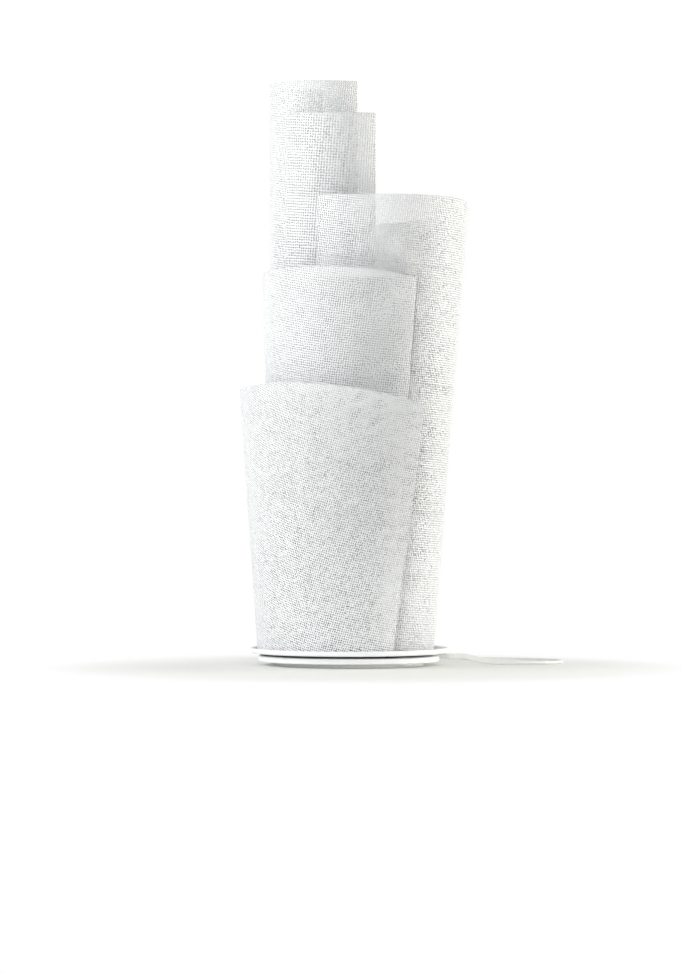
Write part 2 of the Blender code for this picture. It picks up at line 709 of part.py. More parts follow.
def tab_screws():
    """The pan-head screws that hold the sheets' foot tabs to the tray."""
    head = SHEET_FOOT + TAB_THICKNESS + FIT - TRAY_BOTTOM + TAB_SCREW_TIP
    top = head + TAB_SCREW_HEAD_HEIGHT
    places = [(place.x, place.y, TRAY_BOTTOM - TAB_SCREW_TIP) for place in tab_screw_places()]
    turned_copies("tab_screw", [
        (0.0, 0.0), (TAB_SCREW_RADIUS, 0.0), (TAB_SCREW_RADIUS, head), (TAB_SCREW_HEAD, head),
        (TAB_SCREW_HEAD, head + TAB_SCREW_HEAD_HEIGHT / 2), (TAB_SCREW_HEAD - TAB_SCREW_CROWN, top),
        (0.0, top),
    ], 8, ZINC, places)


STEM_BOTTOM = TRAY_BOTTOM - STEM_BELOW_TRAY
STEM_TOP = STEM_BOTTOM + STEM_LENGTH
STEM_CENTRE = (STEM_X, STEM_Y)
HOLDER_CAP_BOTTOM = STEM_TOP - HOLDER_CAP_NECK
HOLDER_CAP_TOP = HOLDER_CAP_BOTTOM + HOLDER_CAP_HEIGHT
HOLDER_TOP = HOLDER_CAP_TOP + FIT + HOLDER_SHELL_HEIGHT
CORE_BOTTOM = HOLDER_CAP_TOP + FIT
BULB_CONTACT_BOTTOM = CORE_BOTTOM + HOLDER_CORE_BASE + FIT
BULB_CAP_BOTTOM = BULB_CONTACT_BOTTOM + BULB_CONTACT_HEIGHT
BULB_CAP_TOP = BULB_CAP_BOTTOM + BULB_CAP_HEIGHT


def stem():
    """The threaded tube that carries the lampholder, clamped to the tray by two nuts."""
    turned("stem", [
        (STEM_BORE, STEM_BOTTOM), (STEM_RADIUS, STEM_BOTTOM), (STEM_RADIUS, STEM_TOP), (STEM_BORE, STEM_TOP),
    ], 24, BASE_COAT, STEM_CENTRE)
    hole = STEM_RADIUS + FIT
    turned("stem_washer", [
        (hole, TRAY_FLOOR + FIT), (WASHER_RADIUS, TRAY_FLOOR + FIT),
        (WASHER_RADIUS, TRAY_FLOOR + FIT + WASHER_HEIGHT), (hole, TRAY_FLOOR + FIT + WASHER_HEIGHT),
    ], 24, ZINC, STEM_CENTRE)
    across = NUT_ACROSS / 2 / math.cos(math.pi / 6)
    upper = TRAY_FLOOR + WASHER_HEIGHT + 2 * FIT
    bore = bmesh.new()
    cylinder_into(bore, hole, STEM_BOTTOM - OVERRUN, upper + NUT_HEIGHT + OVERRUN, STEM_CENTRE, 24)
    tool = cutter("nut_bore", bore)
    for name, bottom in (("stem_nut_lower", TRAY_BOTTOM - FIT - NUT_HEIGHT), ("stem_nut_upper", upper)):
        nut = turned(name, cylinder_outline(across, bottom, bottom + NUT_HEIGHT), 6, ZINC,
                     STEM_CENTRE, closed=False)
        cut(nut, tool)


def lampholder():
    """The lampholder: a cap on the stem, a shell, a core with its socket, and the centre contact."""
    neck = STEM_RADIUS + FIT
    outer = HOLDER_RADIUS
    inner = HOLDER_RADIUS - HOLDER_WALL
    collar = STEM_RADIUS + HOLDER_WALL + FIT
    shoulder = HOLDER_CAP_BOTTOM + HOLDER_CAP_NECK
    turned("holder_cap", [
        (neck, HOLDER_CAP_BOTTOM), (collar, HOLDER_CAP_BOTTOM), (collar, shoulder - HOLDER_WALL),
        (HOLDER_SHOULDER, shoulder), (outer, shoulder + HOLDER_SHOULDER_RISE), (outer, HOLDER_CAP_TOP),
        (inner, HOLDER_CAP_TOP), (inner, shoulder + HOLDER_SHOULDER_RISE + HOLDER_WALL / 2),
        (HOLDER_SHOULDER - HOLDER_WALL / 2, shoulder + HOLDER_WALL), (neck, shoulder + HOLDER_WALL),
    ], 30, WHITE_MOULDING, STEM_CENTRE)
    turned("holder_shell", [
        (inner, HOLDER_CAP_TOP + FIT), (outer, HOLDER_CAP_TOP + FIT), (outer, HOLDER_TOP - HOLDER_LIP),
        (outer - HOLDER_LIP, HOLDER_TOP), (inner, HOLDER_TOP),
    ], 30, WHITE_MOULDING, STEM_CENTRE)
    core = HOLDER_CORE_RADIUS
    socket = BULB_CAP_RADIUS + BULB_THREAD_DEPTH + 2 * FIT
    turned("holder_core", [
        (0.0, CORE_BOTTOM), (core, CORE_BOTTOM), (core, CORE_BOTTOM + HOLDER_CORE_BASE + HOLDER_SOCKET_DEPTH),
        (socket, CORE_BOTTOM + HOLDER_CORE_BASE + HOLDER_SOCKET_DEPTH),
        (socket, CORE_BOTTOM + HOLDER_CORE_BASE), (0.0, CORE_BOTTOM + HOLDER_CORE_BASE),
    ], 30, CREAM_MOULDING, STEM_CENTRE, closed=False)


def bulb():
    """The bulb: a ridged cap, its centre contact and an opal globe on a neck."""
    outline = [(0.0, BULB_CAP_BOTTOM + FIT), (BULB_CAP_FOOT, BULB_CAP_BOTTOM + FIT)]
    pitch = (BULB_CAP_HEIGHT - FIT) / (BULB_THREADS + 1)
    start = BULB_CAP_BOTTOM + FIT + pitch / 2
    for i in range(BULB_THREADS):
        outline.append((BULB_CAP_RADIUS, start + pitch * i))
        outline.append((BULB_CAP_RADIUS + BULB_THREAD_DEPTH, start + pitch * i + pitch / 2))
    outline.append((BULB_CAP_RADIUS, start + pitch * BULB_THREADS))
    outline.append((BULB_CAP_RADIUS, BULB_CAP_TOP))
    outline.append((0.0, BULB_CAP_TOP))
    turned("bulb_cap", outline, 24, ZINC, STEM_CENTRE, closed=False)
    turned("bulb_contact", cylinder_outline(BULB_CONTACT_RADIUS, BULB_CONTACT_BOTTOM, BULB_CAP_BOTTOM), 20,
           BRASS, STEM_CENTRE, closed=False)
    bottom = BULB_CAP_TOP + FIT
    ball = bottom + BULB_HEIGHT - BULB_RADIUS
    outside = [(BULB_NECK, bottom)]
    steps = 9
    for i in range(steps + 1):
        turn = between(BULB_NECK_TURN, math.pi / 2, i / steps)
        outside.append((BULB_RADIUS * math.cos(turn), ball + BULB_RADIUS * math.sin(turn)))
    outside[-1] = (0.0, ball + BULB_RADIUS)
    inside = [(0.0, ball + BULB_RADIUS - BULB_WALL)]
    for i in range(steps):
        turn = between(math.pi / 2, BULB_NECK_TURN, (i + 1) / steps)
        reach = BULB_RADIUS - BULB_WALL
        inside.append((reach * math.cos(turn), ball + reach * math.sin(turn)))
    inside.append((BULB_NECK - BULB_WALL, bottom))
    turned("bulb_globe", outside + inside, 24, OPAL_GLASS, STEM_CENTRE, closed=True)


def sleeve():
    """The strain relief in the channel's mouth: a flanged block that tapers along the cord."""
    bm = bmesh.new()

    def section(x, width, height):
        outline = rounded_outline(width, height, min(width, height) * SLEEVE_CORNER_SHARE, 2)
        return [(x, y, CORD_LEVEL + z) for y, z in outline]

    grip = SLEEVE_FLANGE
    flange = LANDING_X + FIT
    full_width = CHANNEL_WIDTH - 2 * FIT
    prism_into(bm, [
        section(SLEEVE_INNER_X, SLEEVE_WIDTH, SLEEVE_HEIGHT - 2 * FIT),
        section(flange, SLEEVE_WIDTH, SLEEVE_HEIGHT - 2 * FIT),
        section(flange, full_width + 2 * grip, SLEEVE_HEIGHT - FIT),
        section(flange + 2 * grip, full_width + 2 * grip, SLEEVE_HEIGHT - FIT),
        section(flange + 2 * grip, SLEEVE_WIDTH, SLEEVE_HEIGHT - FIT),
        section(SLEEVE_OUTER_X, SLEEVE_TIP_WIDTH, SLEEVE_TIP_HEIGHT),
    ])
    add_object("cord_sleeve", to_mesh(bm, "cord_sleeve"), CORD_SHEATH)


def inner_leads():
    """The flex inside the base, and its two cores that climb the stem to the lampholder."""
    start = SLEEVE_INNER_X - CORD_END_GAP
    stub_end = start / 2 + STEM_X / 2
    points = smooth_route([(start, 0.0, CORD_LEVEL), (between(start, stub_end, MID_SHARE), 0.0, CORD_LEVEL),
                           (stub_end, 0.0, CORD_LEVEL)], 2 * CORD_WIDTH)
    flex("inner_flex", points, [0.0] * len(points), 2, CORD_SHEATH)
    reach = stub_end - FIT
    low = DISC_TOP - CHANNEL_DEPTH + 2 * FIT + CORE_RADIUS
    for name, side, finish in (("core_blue", -1, BLUE_CORE), ("core_brown", 1, BROWN_CORE)):
        offset = side * CORE_SPREAD
        bend = smooth_route([
            (reach, 0.0, CORD_LEVEL + offset),
            (between(reach, STEM_X, BEND_SHARE), offset, low + CORE_RADIUS),
            (STEM_X + CORE_BEND + offset, offset, low),
            (STEM_X + offset, CORE_BEND + offset, low),
            (STEM_X + offset, STEM_Y / 2, low),
            (STEM_X + offset, STEM_Y - CORE_BEND, low - CORE_RADIUS),
            (STEM_X + offset, STEM_Y - CORE_SPREAD, STEM_BOTTOM - CORE_RADIUS),
            (STEM_X + offset, STEM_Y, STEM_BOTTOM + CORE_BEND),
            (STEM_X + offset, STEM_Y, STEM_BOTTOM + 2 * CORE_BEND),
        ], CORE_BEND)
        route = [tuple(point) for point in bend]
        route.append((STEM_X + offset, STEM_Y, STEM_TOP - CORE_BEND))
        route.append((STEM_X + offset, STEM_Y, STEM_TOP))
        route.append((STEM_X + CORE_FAN_SHARE * offset, STEM_Y, CORE_BOTTOM - CORE_BEND))
        route.append((STEM_X + CORE_FAN_SHARE * offset, STEM_Y, CORE_BOTTOM - FIT))
        flex(name, route, [0.0] * len(route), 1, finish, 2 * CORE_RADIUS, 2 * CORE_RADIUS)


def coil_line():
    """The coil's centre line: in along the lower layer, up in half a turn, and out again on the upper."""
    count = round(COIL_TURNS * COIL_POINTS)
    points = []
    for i in range(count + 1):
        turns = COIL_TURNS * i / count
        half = COIL_TURNS / 2
        inward = min(turns, COIL_TURNS - turns)
        radius = COIL_OUTER - COIL_PITCH * inward
        climb = min(max((turns - half) / COIL_CLIMB_TURNS + MID_SHARE, 0.0), 1.0)
        level = COIL_LEVEL + COIL_LAYER * climb * climb * (3 - 2 * climb)
        turn = -math.pi / 2 - 2 * math.pi * turns
        points.append((COIL_X + radius * math.cos(turn), COIL_Y + radius * math.sin(turn), level))
    lead = CORD_WIDTH
    first, last = Vector(points[0]), Vector(points[-1])
    return [tuple(first + Vector((lead, 0.0, 0.0)))] + points + [tuple(last + Vector((lead, 0.0, 0.0)))]


def least_gap(points):
    """The least gap of the coiled flex to its own other turns, standing on edge."""
    line = np.array(points)
    least = float("inf")
    for i in range(len(line)):
        beyond = np.abs(np.arange(len(line)) - i) > COIL_POINTS // 2
        across = np.hypot(*(line[beyond, :2] - line[i, :2]).T)
        above = np.maximum(np.abs(line[beyond, 2] - line[i, 2]) - (CORD_WIDTH - CORD_THICKNESS), 0.0)
        least = min(least, float(np.hypot(across, above).min()) - CORD_THICKNESS)
    return least


def cord():
    """The free flex in its stretches, the coil of the put-away length and its tie."""
    run = smooth_route(RUN_ROUTE, CORD_STEP)
    switch_end = SWITCH_X + SWITCH_LENGTH / 2 + CORD_END_GAP
    run[-1] = (switch_end, SWITCH_Y, SWITCH_SIT + SWITCH_LOWER_HEIGHT)
    flex("cord_run", run, flex_tilts(len(run), RUN_TILT_SHARES), 2, CORD_SHEATH)
    coil = coil_line()
    flex("cord_coil", coil, [0.0] * len(coil), 1, CORD_SHEATH)
    print(f"least gap in the coil: {least_gap(coil[1:-1]) / MM:.2f} mm")

    start = Vector((SWITCH_X - SWITCH_LENGTH / 2 - CORD_END_GAP, SWITCH_Y, SWITCH_SIT + SWITCH_LOWER_HEIGHT))
    end = Vector(coil[0]) + Vector((CORD_END_GAP, 0.0, 0.0))
    link = smooth_route([
        start, start + Vector((-CORD_WIDTH, 0.0, 0.0)),
        Vector((between(start.x, end.x, MID_SHARE), between(start.y, end.y, MID_SHARE),
                between(start.z, end.z, LINK_RISE_SHARE))),
        end + Vector((CORD_WIDTH, 0.0, 0.0)), end,
    ], CORD_WIDTH)
    flex("cord_link", link, flex_tilts(len(link), LINK_TILT_SHARES), 2, CORD_SHEATH)

    start = Vector(coil[-1]) + Vector((CORD_END_GAP, 0.0, 0.0))
    end = Vector((PLUG_X - CORD_END_GAP, PLUG_Y, PLUG_SIT + PLUG_HEIGHT / 2))
    tail = smooth_route([
        start, start + Vector((CORD_WIDTH, 0.0, 0.0)),
        Vector((between(start.x, end.x, MID_SHARE), between(start.y, end.y, MID_SHARE),
                between(start.z, end.z, LINK_RISE_SHARE))),
        end - Vector((CORD_WIDTH, 0.0, 0.0)), end,
    ], CORD_WIDTH)
    flex("cord_tail", tail, flex_tilts(len(tail), TAIL_TILT_SHARES), 2, CORD_SHEATH)
    total = (
        (run[0][0] - SLEEVE_OUTER_X) + route_length(run) + SWITCH_LENGTH + route_length(link)
        + route_length(coil) + route_length(tail)
    )
    print(f"length of the flex from its exit to the plug: {total:.3f} m")
    tie()


def tie():
    """The hook-and-loop tie round the coil's turns."""
    inner = COIL_OUTER - COIL_PITCH * COIL_TURNS / 2 - CORD_THICKNESS / 2 - 2 * FIT
    outer = COIL_OUTER + CORD_THICKNESS / 2 + 2 * FIT
    low = COIL_LEVEL - CORD_STAND - FIT
    high = COIL_LEVEL + COIL_LAYER + CORD_STAND + FIT
    bm = bmesh.new()
    place = Matrix.Translation((COIL_X, COIL_Y, 0.0)) @ Matrix.Rotation(TIE_ANGLE, 4, "Z")
    middle = (inner + outer) / 2
    reach = (outer - inner) / 2
    half_height = (high - low) / 2
    level = (high + low) / 2
    rings = []
    for grow in (TIE_THICKNESS, 0.0):
        corner = min(reach, half_height) * TIE_CORNER_SHARE + grow
        outline = rounded_outline(2 * (reach + grow), 2 * (half_height + grow), corner, 3)
        rings.append([(middle + x, level + z) for x, z in outline])
    loops = []
    for y in (-TIE_WIDTH / 2, TIE_WIDTH / 2):
        loops.append([[bm.verts.new(place @ Vector((x, y, z))) for x, z in ring] for ring in rings])
    count = len(rings[0])
    for i in range(count):
        j = (i + 1) % count
        (outer_a, inner_a), (outer_b, inner_b) = loops
        bm.faces.new((outer_a[i], outer_a[j], outer_b[j], outer_b[i]))
        bm.faces.new((inner_a[i], inner_b[i], inner_b[j], inner_a[j]))
        bm.faces.new((outer_a[i], inner_a[i], inner_a[j], outer_a[j]))
        bm.faces.new((outer_b[i], outer_b[j], inner_b[j], inner_b[i]))
    add_object("coil_tie", to_mesh(bm, "coil_tie"), WOVEN_BLACK)


def switch():
    """The in-line switch: two half shells, a rocker on its pivot and two screws."""
    bottom = SWITCH_SIT
    split = bottom + SWITCH_LOWER_HEIGHT
    top = split + SWITCH_UPPER_HEIGHT
    centre = Vector((SWITCH_X, SWITCH_Y, 0.0))
    place = Matrix.Translation(centre)

    def shell(name, low, high, edge_low, edge_high):
        bm = bmesh.new()
        rings = []
        for z, inset in ((low, edge_low), (low + edge_low, 0.0), (high - edge_high, 0.0), (high, edge_high)):
            if rings and z <= rings[-1][0][2]:
                continue
            outline = rounded_outline(SWITCH_LENGTH - 2 * inset, SWITCH_WIDTH - 2 * inset, SWITCH_CORNER)
            rings.append([(x, y, z) for x, y in outline])
        prism_into(bm, rings, place)
        return add_object(name, to_mesh(bm, name), BASE_COAT)

    lower = shell("switch_lower", bottom, split - FIT / 2, SWITCH_EDGE, 0.0)
    upper = shell("switch_upper", split + FIT / 2, top, 0.0, SWITCH_EDGE)
    room = bmesh.new()
    inside = rounded_outline(SWITCH_ROOM, SWITCH_WIDTH - 2 * SWITCH_WALL, SWITCH_CORNER - SWITCH_WALL, 2)
    levels = (bottom + SWITCH_WALL, top - SWITCH_WALL)
    prism_into(room, [[(x, y, z) for x, y in inside] for z in levels], place)
    hollow = cutter("switch_room", room)
    cut(lower, hollow)
    cut(upper, hollow)

    slot = bmesh.new()
    half_length = ROCKER_LENGTH / 2 + ROCKER_CLEARANCE
    half_width = ROCKER_WIDTH / 2 + ROCKER_CLEARANCE
    box_into(slot, (-half_length, -half_width, split), (half_length, half_width, top + OVERRUN), place)
    pivot = pivot_level()
    pin = bmesh.new()
    reach = ROCKER_WIDTH / 2 + ROCKER_PIN_LENGTH + FIT
    turned_into(pin, cylinder_outline(ROCKER_PIN + FIT, -reach, reach), 16, closed=False)
    bmesh.ops.transform(pin, verts=pin.verts, matrix=Matrix.Translation((SWITCH_X, SWITCH_Y, pivot))
                        @ Matrix.Rotation(math.pi / 2, 4, "X"))
    cut(upper, cutter("switch_slot", slot))
    cut(upper, cutter("switch_pivot_holes", pin))

    reach = SWITCH_LENGTH / 2 - SWITCH_SCREW_INSET
    seats = [(SWITCH_X + side * reach, SWITCH_Y) for side in (-1, 1)]
    turned_copies("switch_screw", [
        (0.0, 0.0), (SWITCH_SCREW_HEAD, 0.0), (SWITCH_SCREW_HEAD, SWITCH_SCREW_DEPTH - FIT),
        (SWITCH_SCREW_RADIUS, SWITCH_SCREW_DEPTH - FIT), (SWITCH_SCREW_RADIUS, SWITCH_SCREW_LENGTH - FIT),
        (0.0, SWITCH_SCREW_LENGTH - FIT),
    ], 12, ZINC, [(x, y, bottom + FIT) for x, y in seats])
    holes = bmesh.new()
    for at in seats:
        turned_into(holes, [
            (0.0, bottom - OVERRUN), (SWITCH_SCREW_HEAD + FIT, bottom - OVERRUN),
            (SWITCH_SCREW_HEAD + FIT, bottom + SWITCH_SCREW_DEPTH + FIT),
            (SWITCH_SCREW_RADIUS + FIT, bottom + SWITCH_SCREW_DEPTH + FIT),
            (SWITCH_SCREW_RADIUS + FIT, bottom + SWITCH_SCREW_LENGTH + FIT),
            (0.0, bottom + SWITCH_SCREW_LENGTH + FIT),
        ], 12, at, closed=False)
    bores = cutter("switch_screw_holes", holes)
    cut(lower, bores)
    cut(upper, bores)
    rocker()


def pivot_level():
    """The height of the rocker's pivot."""
    return SWITCH_SIT + SWITCH_LOWER_HEIGHT + SWITCH_UPPER_HEIGHT - SWITCH_WALL - ROCKER_PIN


def rocker():
    """The rocker, dished along its top and tilted to one stop."""
    half = ROCKER_LENGTH / 2
    top = SWITCH_WALL + ROCKER_PIN + ROCKER_STAND
    steps = 8
    outline = []
    for i in range(steps + 1):
        x = between(-half, half, i / steps)
        outline.append((x, top - ROCKER_DISH * (1 - (x / half) ** 2)))
    drop = ROCKER_DEPTH
    outline += [(half - ROCKER_CLEARANCE, 0.0), (ROCKER_FOOT / 2, -drop), (-ROCKER_FOOT / 2, -drop),
                (-half + ROCKER_CLEARANCE, 0.0)]
    bm = bmesh.new()
    width = ROCKER_WIDTH / 2
    prism_into(bm, [[(x, y, z) for x, z in outline] for y in (-width, width)])
    bmesh.ops.recalc_face_normals(bm, faces=bm.faces)
    made = add_object("switch_rocker", to_mesh(bm, "switch_rocker"), WHITE_MOULDING,
                      (SWITCH_X, SWITCH_Y, pivot_level()), (0.0, -ROCKER_TILT, 0.0))
    pins = bmesh.new()
    reach = width + ROCKER_PIN_LENGTH
    turned_into(pins, cylinder_outline(ROCKER_PIN, -reach, reach), 12, closed=False)
    bmesh.ops.transform(pins, verts=pins.verts, matrix=Matrix.Rotation(math.pi / 2, 4, "X"))
    tool = cutter("rocker_pins", pins)
    tool.parent = made
    cut(made, tool, "UNION")


def plug():
    """The flat two-pin plug: a moulded body and its sleeved pins."""
    level = PLUG_SIT + PLUG_HEIGHT / 2
    bm = bmesh.new()

    def section(x, width, height):
        return [(PLUG_X + x, PLUG_Y + y, level + z) for y, z in rounded_outline(width, height, PLUG_EDGE, 3)]

    prism_into(bm, [
        *(section(PLUG_LENGTH * along, PLUG_WIDTH * wide, PLUG_HEIGHT * high)
          for along, wide, high in PLUG_STATION_SHARES),
        section(PLUG_LENGTH - PLUG_EDGE / 2, PLUG_WIDTH, PLUG_HEIGHT),
        section(PLUG_LENGTH, PLUG_WIDTH - PLUG_EDGE, PLUG_HEIGHT - PLUG_EDGE),
    ])
    body = add_object("plug_body", to_mesh(bm, "plug_body"), WHITE_MOULDING)
    tip = PIN_SEAT + PIN_LENGTH
    face = PLUG_X + PLUG_LENGTH
    pins = turned_copies("plug_pin", [
        (0.0, 0.0), (PIN_SLEEVE_RADIUS, 0.0), (PIN_SLEEVE_RADIUS, PIN_SEAT + PIN_SLEEVE),
        (PIN_RADIUS, PIN_SEAT + PIN_SLEEVE), (PIN_RADIUS, tip - PIN_RADIUS),
        (PIN_SLEEVE_RADIUS - PIN_POINT, tip - PIN_POINT), (0.0, tip),
    ], 16, BRASS, [(face - PIN_SEAT, PLUG_Y + side * PIN_SPACING / 2, level) for side in (-1, 1)])
    for pin in pins:
        pin.rotation_euler = (0.0, 90.0 * DEG, 0.0)
        seat = bmesh.new()
        outline = cylinder_outline(PIN_SLEEVE_RADIUS + FIT, -FIT, PIN_SEAT + OVERRUN)
        turned_into(seat, outline, 16, closed=False)
        tool = cutter(pin.name + "_seat", seat)
        tool.location = pin.location
        tool.rotation_euler = pin.rotation_euler
        cut(body, tool)


def main():
    """Build the lamp from the floor up."""
    for old in list(bpy.data.objects):
        bpy.data.objects.remove(old, do_unlink=True)
    foot_pad()
    base_disc()
    spacers()
    base_screws()
    tray()
    for name, sheet in SHEETS.items():
        bent_sheet(name, sheet)
    tab_screws()
    stem()
    lampholder()
    bulb()
    sleeve()
    inner_leads()
    cord()
    switch()
    plug()


main()
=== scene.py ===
"""Table lamp of bent perforated sheets: surfaces, finishes, cord, light and camera, laid out as an add-on."""

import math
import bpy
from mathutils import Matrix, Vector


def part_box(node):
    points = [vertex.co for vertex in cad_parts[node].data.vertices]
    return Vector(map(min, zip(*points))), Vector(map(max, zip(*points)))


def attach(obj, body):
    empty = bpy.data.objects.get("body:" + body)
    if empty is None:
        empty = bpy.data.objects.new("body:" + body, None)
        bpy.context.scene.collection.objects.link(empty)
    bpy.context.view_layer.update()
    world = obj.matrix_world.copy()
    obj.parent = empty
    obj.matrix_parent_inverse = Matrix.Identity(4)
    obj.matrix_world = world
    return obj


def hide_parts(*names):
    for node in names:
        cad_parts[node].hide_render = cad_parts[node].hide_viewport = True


bl_info = {
    "name": "Perforated table lamp",
    "version": (1, 0, 0),
    "blender": (4, 5, 0),
    "location": "View3D > Sidebar > Lamp",
    "description": "Builds the perforated sheets, base, bulb, cord and finishes of a table lamp",
    "category": "Object",
}

import bmesh
import bpy
import numpy as np
from bpy.props import FloatProperty, FloatVectorProperty, IntProperty, PointerProperty
from mathutils import Matrix, Vector

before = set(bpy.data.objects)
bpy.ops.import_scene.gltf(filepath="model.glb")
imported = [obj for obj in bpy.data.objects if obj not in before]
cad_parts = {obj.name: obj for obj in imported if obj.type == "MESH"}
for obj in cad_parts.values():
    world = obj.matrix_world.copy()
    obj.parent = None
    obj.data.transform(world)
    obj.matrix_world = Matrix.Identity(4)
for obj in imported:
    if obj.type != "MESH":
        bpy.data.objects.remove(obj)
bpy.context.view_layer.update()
MM = 0.001
DEG = math.pi / 180.0
BODY = "lamp"
SHARP = 32 * DEG

# The sheets as they are cut and bent, in millimetres and degrees: foot and top centre and radius, rim height,
# free edge, far end, the fall of the rim from the free edge to the far end, and the places of the two foot
# tabs as shares of the sweep
SHEET_FOOT = 15.1 * MM
SHEETS = {
    "shade_front_low": (
        (0.0, 0.0, 96.8), (18.0, 4.0, 134.0), 300.0, -62.0, -196.0,
        (22.5, 10.5, 3.0, 0.0, 3.0, 7.0, 12.0), (0.16, 0.84),
    ),
    "shade_front_middle": (
        (0.0, 0.0, 80.6), (14.6, 2.0, 106.1), 421.0, -58.0, -184.0,
        (11.5, 4.5, 0.5, 0.0, 1.0, 4.0, 8.0), (0.5, 0.92),
    ),
    "shade_right": (
        (17.5, 4.0, 72.0), (32.4, 12.0, 95.0), 497.0, -134.0, 100.0,
        (0.0, 0.0, 0.5, 4.0, 13.0, 20.0, 24.0), (0.3, 0.88),
    ),
    "shade_inner_middle": (
        (-12.3, 18.0, 62.0), (-12.3, 18.0, 62.0), 585.0, -49.8, -150.0,
        (0.0, 0.0, 0.0), (0.2, 0.75),
    ),
    "shade_inner_tall": (
        (-28.0, 36.0, 56.0), (-28.0, 36.0, 56.0), 620.0, -49.3, -270.0,
        (0.0, 0.0, 0.0, 1.0, 2.0, 2.0, 2.0), (0.3, 0.86),
    ),
}

# Each sheet's perforation: the pitch across and along it, how far its rows climb away from the free edge,
# how large its holes are against the rest, how much they differ in size and how far one may sit off its place
SHEET_HOLES = {
    "shade_front_low": (2.3 * MM, 2.42 * MM, 9.0 * DEG, 1.04, 0.28, 0.26 * MM),
    "shade_front_middle": (2.5 * MM, 2.44 * MM, 4.5 * DEG, 0.94, 0.3, 0.34 * MM),
    "shade_right": (2.5 * MM, 2.38 * MM, -8.0 * DEG, 1.05, 0.3, 0.36 * MM),
    "shade_inner_middle": (2.95 * MM, 2.87 * MM, 4.0 * DEG, 0.96, 0.28, 0.42 * MM),
    "shade_inner_tall": (2.56 * MM, 2.44 * MM, 7.0 * DEG, 0.98, 0.3, 0.36 * MM),
}
# No hole is smaller or larger than these shares of an even one, and points of a blank this close are one
LEAST_SIZE, MOST_SIZE = 0.3, 1.6
SAME_POINT = 0.002 * MM

# The height up to which a sheet has another one round it, how open to its surroundings a place there may be
# and still get painted shade, the painted shade at that height and what is added down to the foot. The right
# sheet's higher limit also paints the shadow beside the free edges of the sheets in front.
SHEET_COVERED = {
    "shade_front_middle": (276.0 * MM, 0.53, 0.45, 0.7),
    "shade_right": (412.0 * MM, 0.76, 1.3, -1.1),
    "shade_inner_middle": (474.0 * MM, 0.53, 0.45, 0.7),
    "shade_inner_tall": (583.0 * MM, 0.53, 0.45, 0.7),
}

# A foot tab: its side, the radius of its free corners and that of its screw hole
TAB_SIDE, TAB_CORNER, TAB_HOLE = 9.0 * MM, 2.88 * MM, 1.9 * MM

# The places and lengths from here on are in millimetres. The cord's way is that of the solids: level out of
# its sleeve, down to the floor, round a turn and back behind the base, through the switch, into the coil and
# out to the plug. LEAD is how far it runs on straight at such an end.
RUN = (
    (116.3, 0.0, 9.3), (124.0, 0.2, 9.0), (134.0, 0.6, 6.6), (146.0, 1.2, 4.2), (160.0, 2.2, 3.2),
    (176.0, 4.0, 3.0), (194.0, 8.0, 2.5), (211.0, 16.0, 2.0), (223.0, 29.0, 1.8), (227.0, 46.0, 1.8),
    (222.0, 63.0, 1.8), (209.0, 77.0, 1.8), (191.0, 88.0, 1.8), (170.0, 97.0, 1.8), (148.0, 105.0, 1.9),
    (126.0, 112.0, 2.2), (105.0, 118.0, 3.8), (88.0, 122.0, 6.6), (76.0, 123.8, 8.1), (66.3, 124.0, 8.3),
)
LEAD = (6.0, 0.0, 0.0)
SWITCH, SWITCH_HALF = (36.0, 124.0, 8.3), (30.0, 0.0, 0.0)
COIL_CENTRE = (-45.0, 152.0)
COIL_OUTER, COIL_TURNS, COIL_PITCH, COIL_LAYER, COIL_LEVEL, COIL_POINTS = 38.0, 6.5, 4.1, 6.8, 4.5, 24
PLUG_BACK = (29.7, 178.0, 7.1)

# The screws: shank, head, height of the head and pitch
TAB_SCREW = (1.6, 2.8, 1.6, 0.8)
BASE_SCREW = (2.0, 3.6, 2.0, 1.0)
SWITCH_SCREW = (1.2, 2.3, 1.3, 0.7)

# The stem and what is on it, as radii and heights. A wall is a radius, its lower and upper end and the
# spacing of its rings. A thread is its pitch and depth and where it starts and ends, and flutes are their
# number, depth, start and end.
STEM_PLACE = Matrix.Translation((8.0 * MM, 36.0 * MM, 0.0))
STEM_RADIUS, STEM_BORE, STEM_FOOT, STEM_TOP = 5.0, 3.6, 9.3, 233.3
STEM_END = 4.6
STEM_WALL = (STEM_RADIUS, 9.6, 233.0, 0.25)
STEM_THREAD = (1.5, 0.45, STEM_FOOT, STEM_TOP)
NUTS = {"stem_nut_lower": 10.0, "stem_nut_upper": 16.6}
NUT_ACROSS, NUT_HEIGHT, NUT_BORE, NUT_LAND = 14.0, 3.0, 5.05, 0.48
WASHER = ((5.3, 15.1), (9.8, 15.1), (10.0, 15.3), (10.0, 15.9), (9.6, 16.3), (5.3, 16.3))
COVER_FOOT = ((7.0, 224.3), (7.3, 224.6), (7.3, 230.4), (7.8, 231.6), (9.4, 232.3), (15.0, 233.4),
              (17.2, 234.3), (19.2, 236.0), (20.2, 237.6))
COVER_WALL, COVER_FLUTES = (20.5, 238.6, 247.7, 0.4), (36, 0.45, 238.8, 247.6)
COVER_RIM = ((20.2, 248.2), (19.9, 248.3))
COVER_INSIDE = ((18.5, 248.3), (18.5, 238.8), (14.4, 235.3), (5.3, 235.3), (5.3, 224.3))
SKIRT_FOOT = ((19.9, 248.6), (20.3, 248.8))
SKIRT_WALL, SKIRT_THREAD = (20.5, 249.2, 281.4, 0.4), (3.2, 0.5, 251.0, 277.0)
SKIRT_RIM = ((20.2, 282.2), (19.4, 282.6))
SKIRT_INSIDE = ((18.5, 282.6), (18.5, 248.6))
CAP_FOOT = ((8.6, 256.2), (9.2, 256.3), (12.4, 257.1), (13.3, 257.5))
CAP_WALL, CAP_THREAD = (13.9, 257.7, 277.6, 0.33), (3.9, 0.7, 257.5, 278.0)
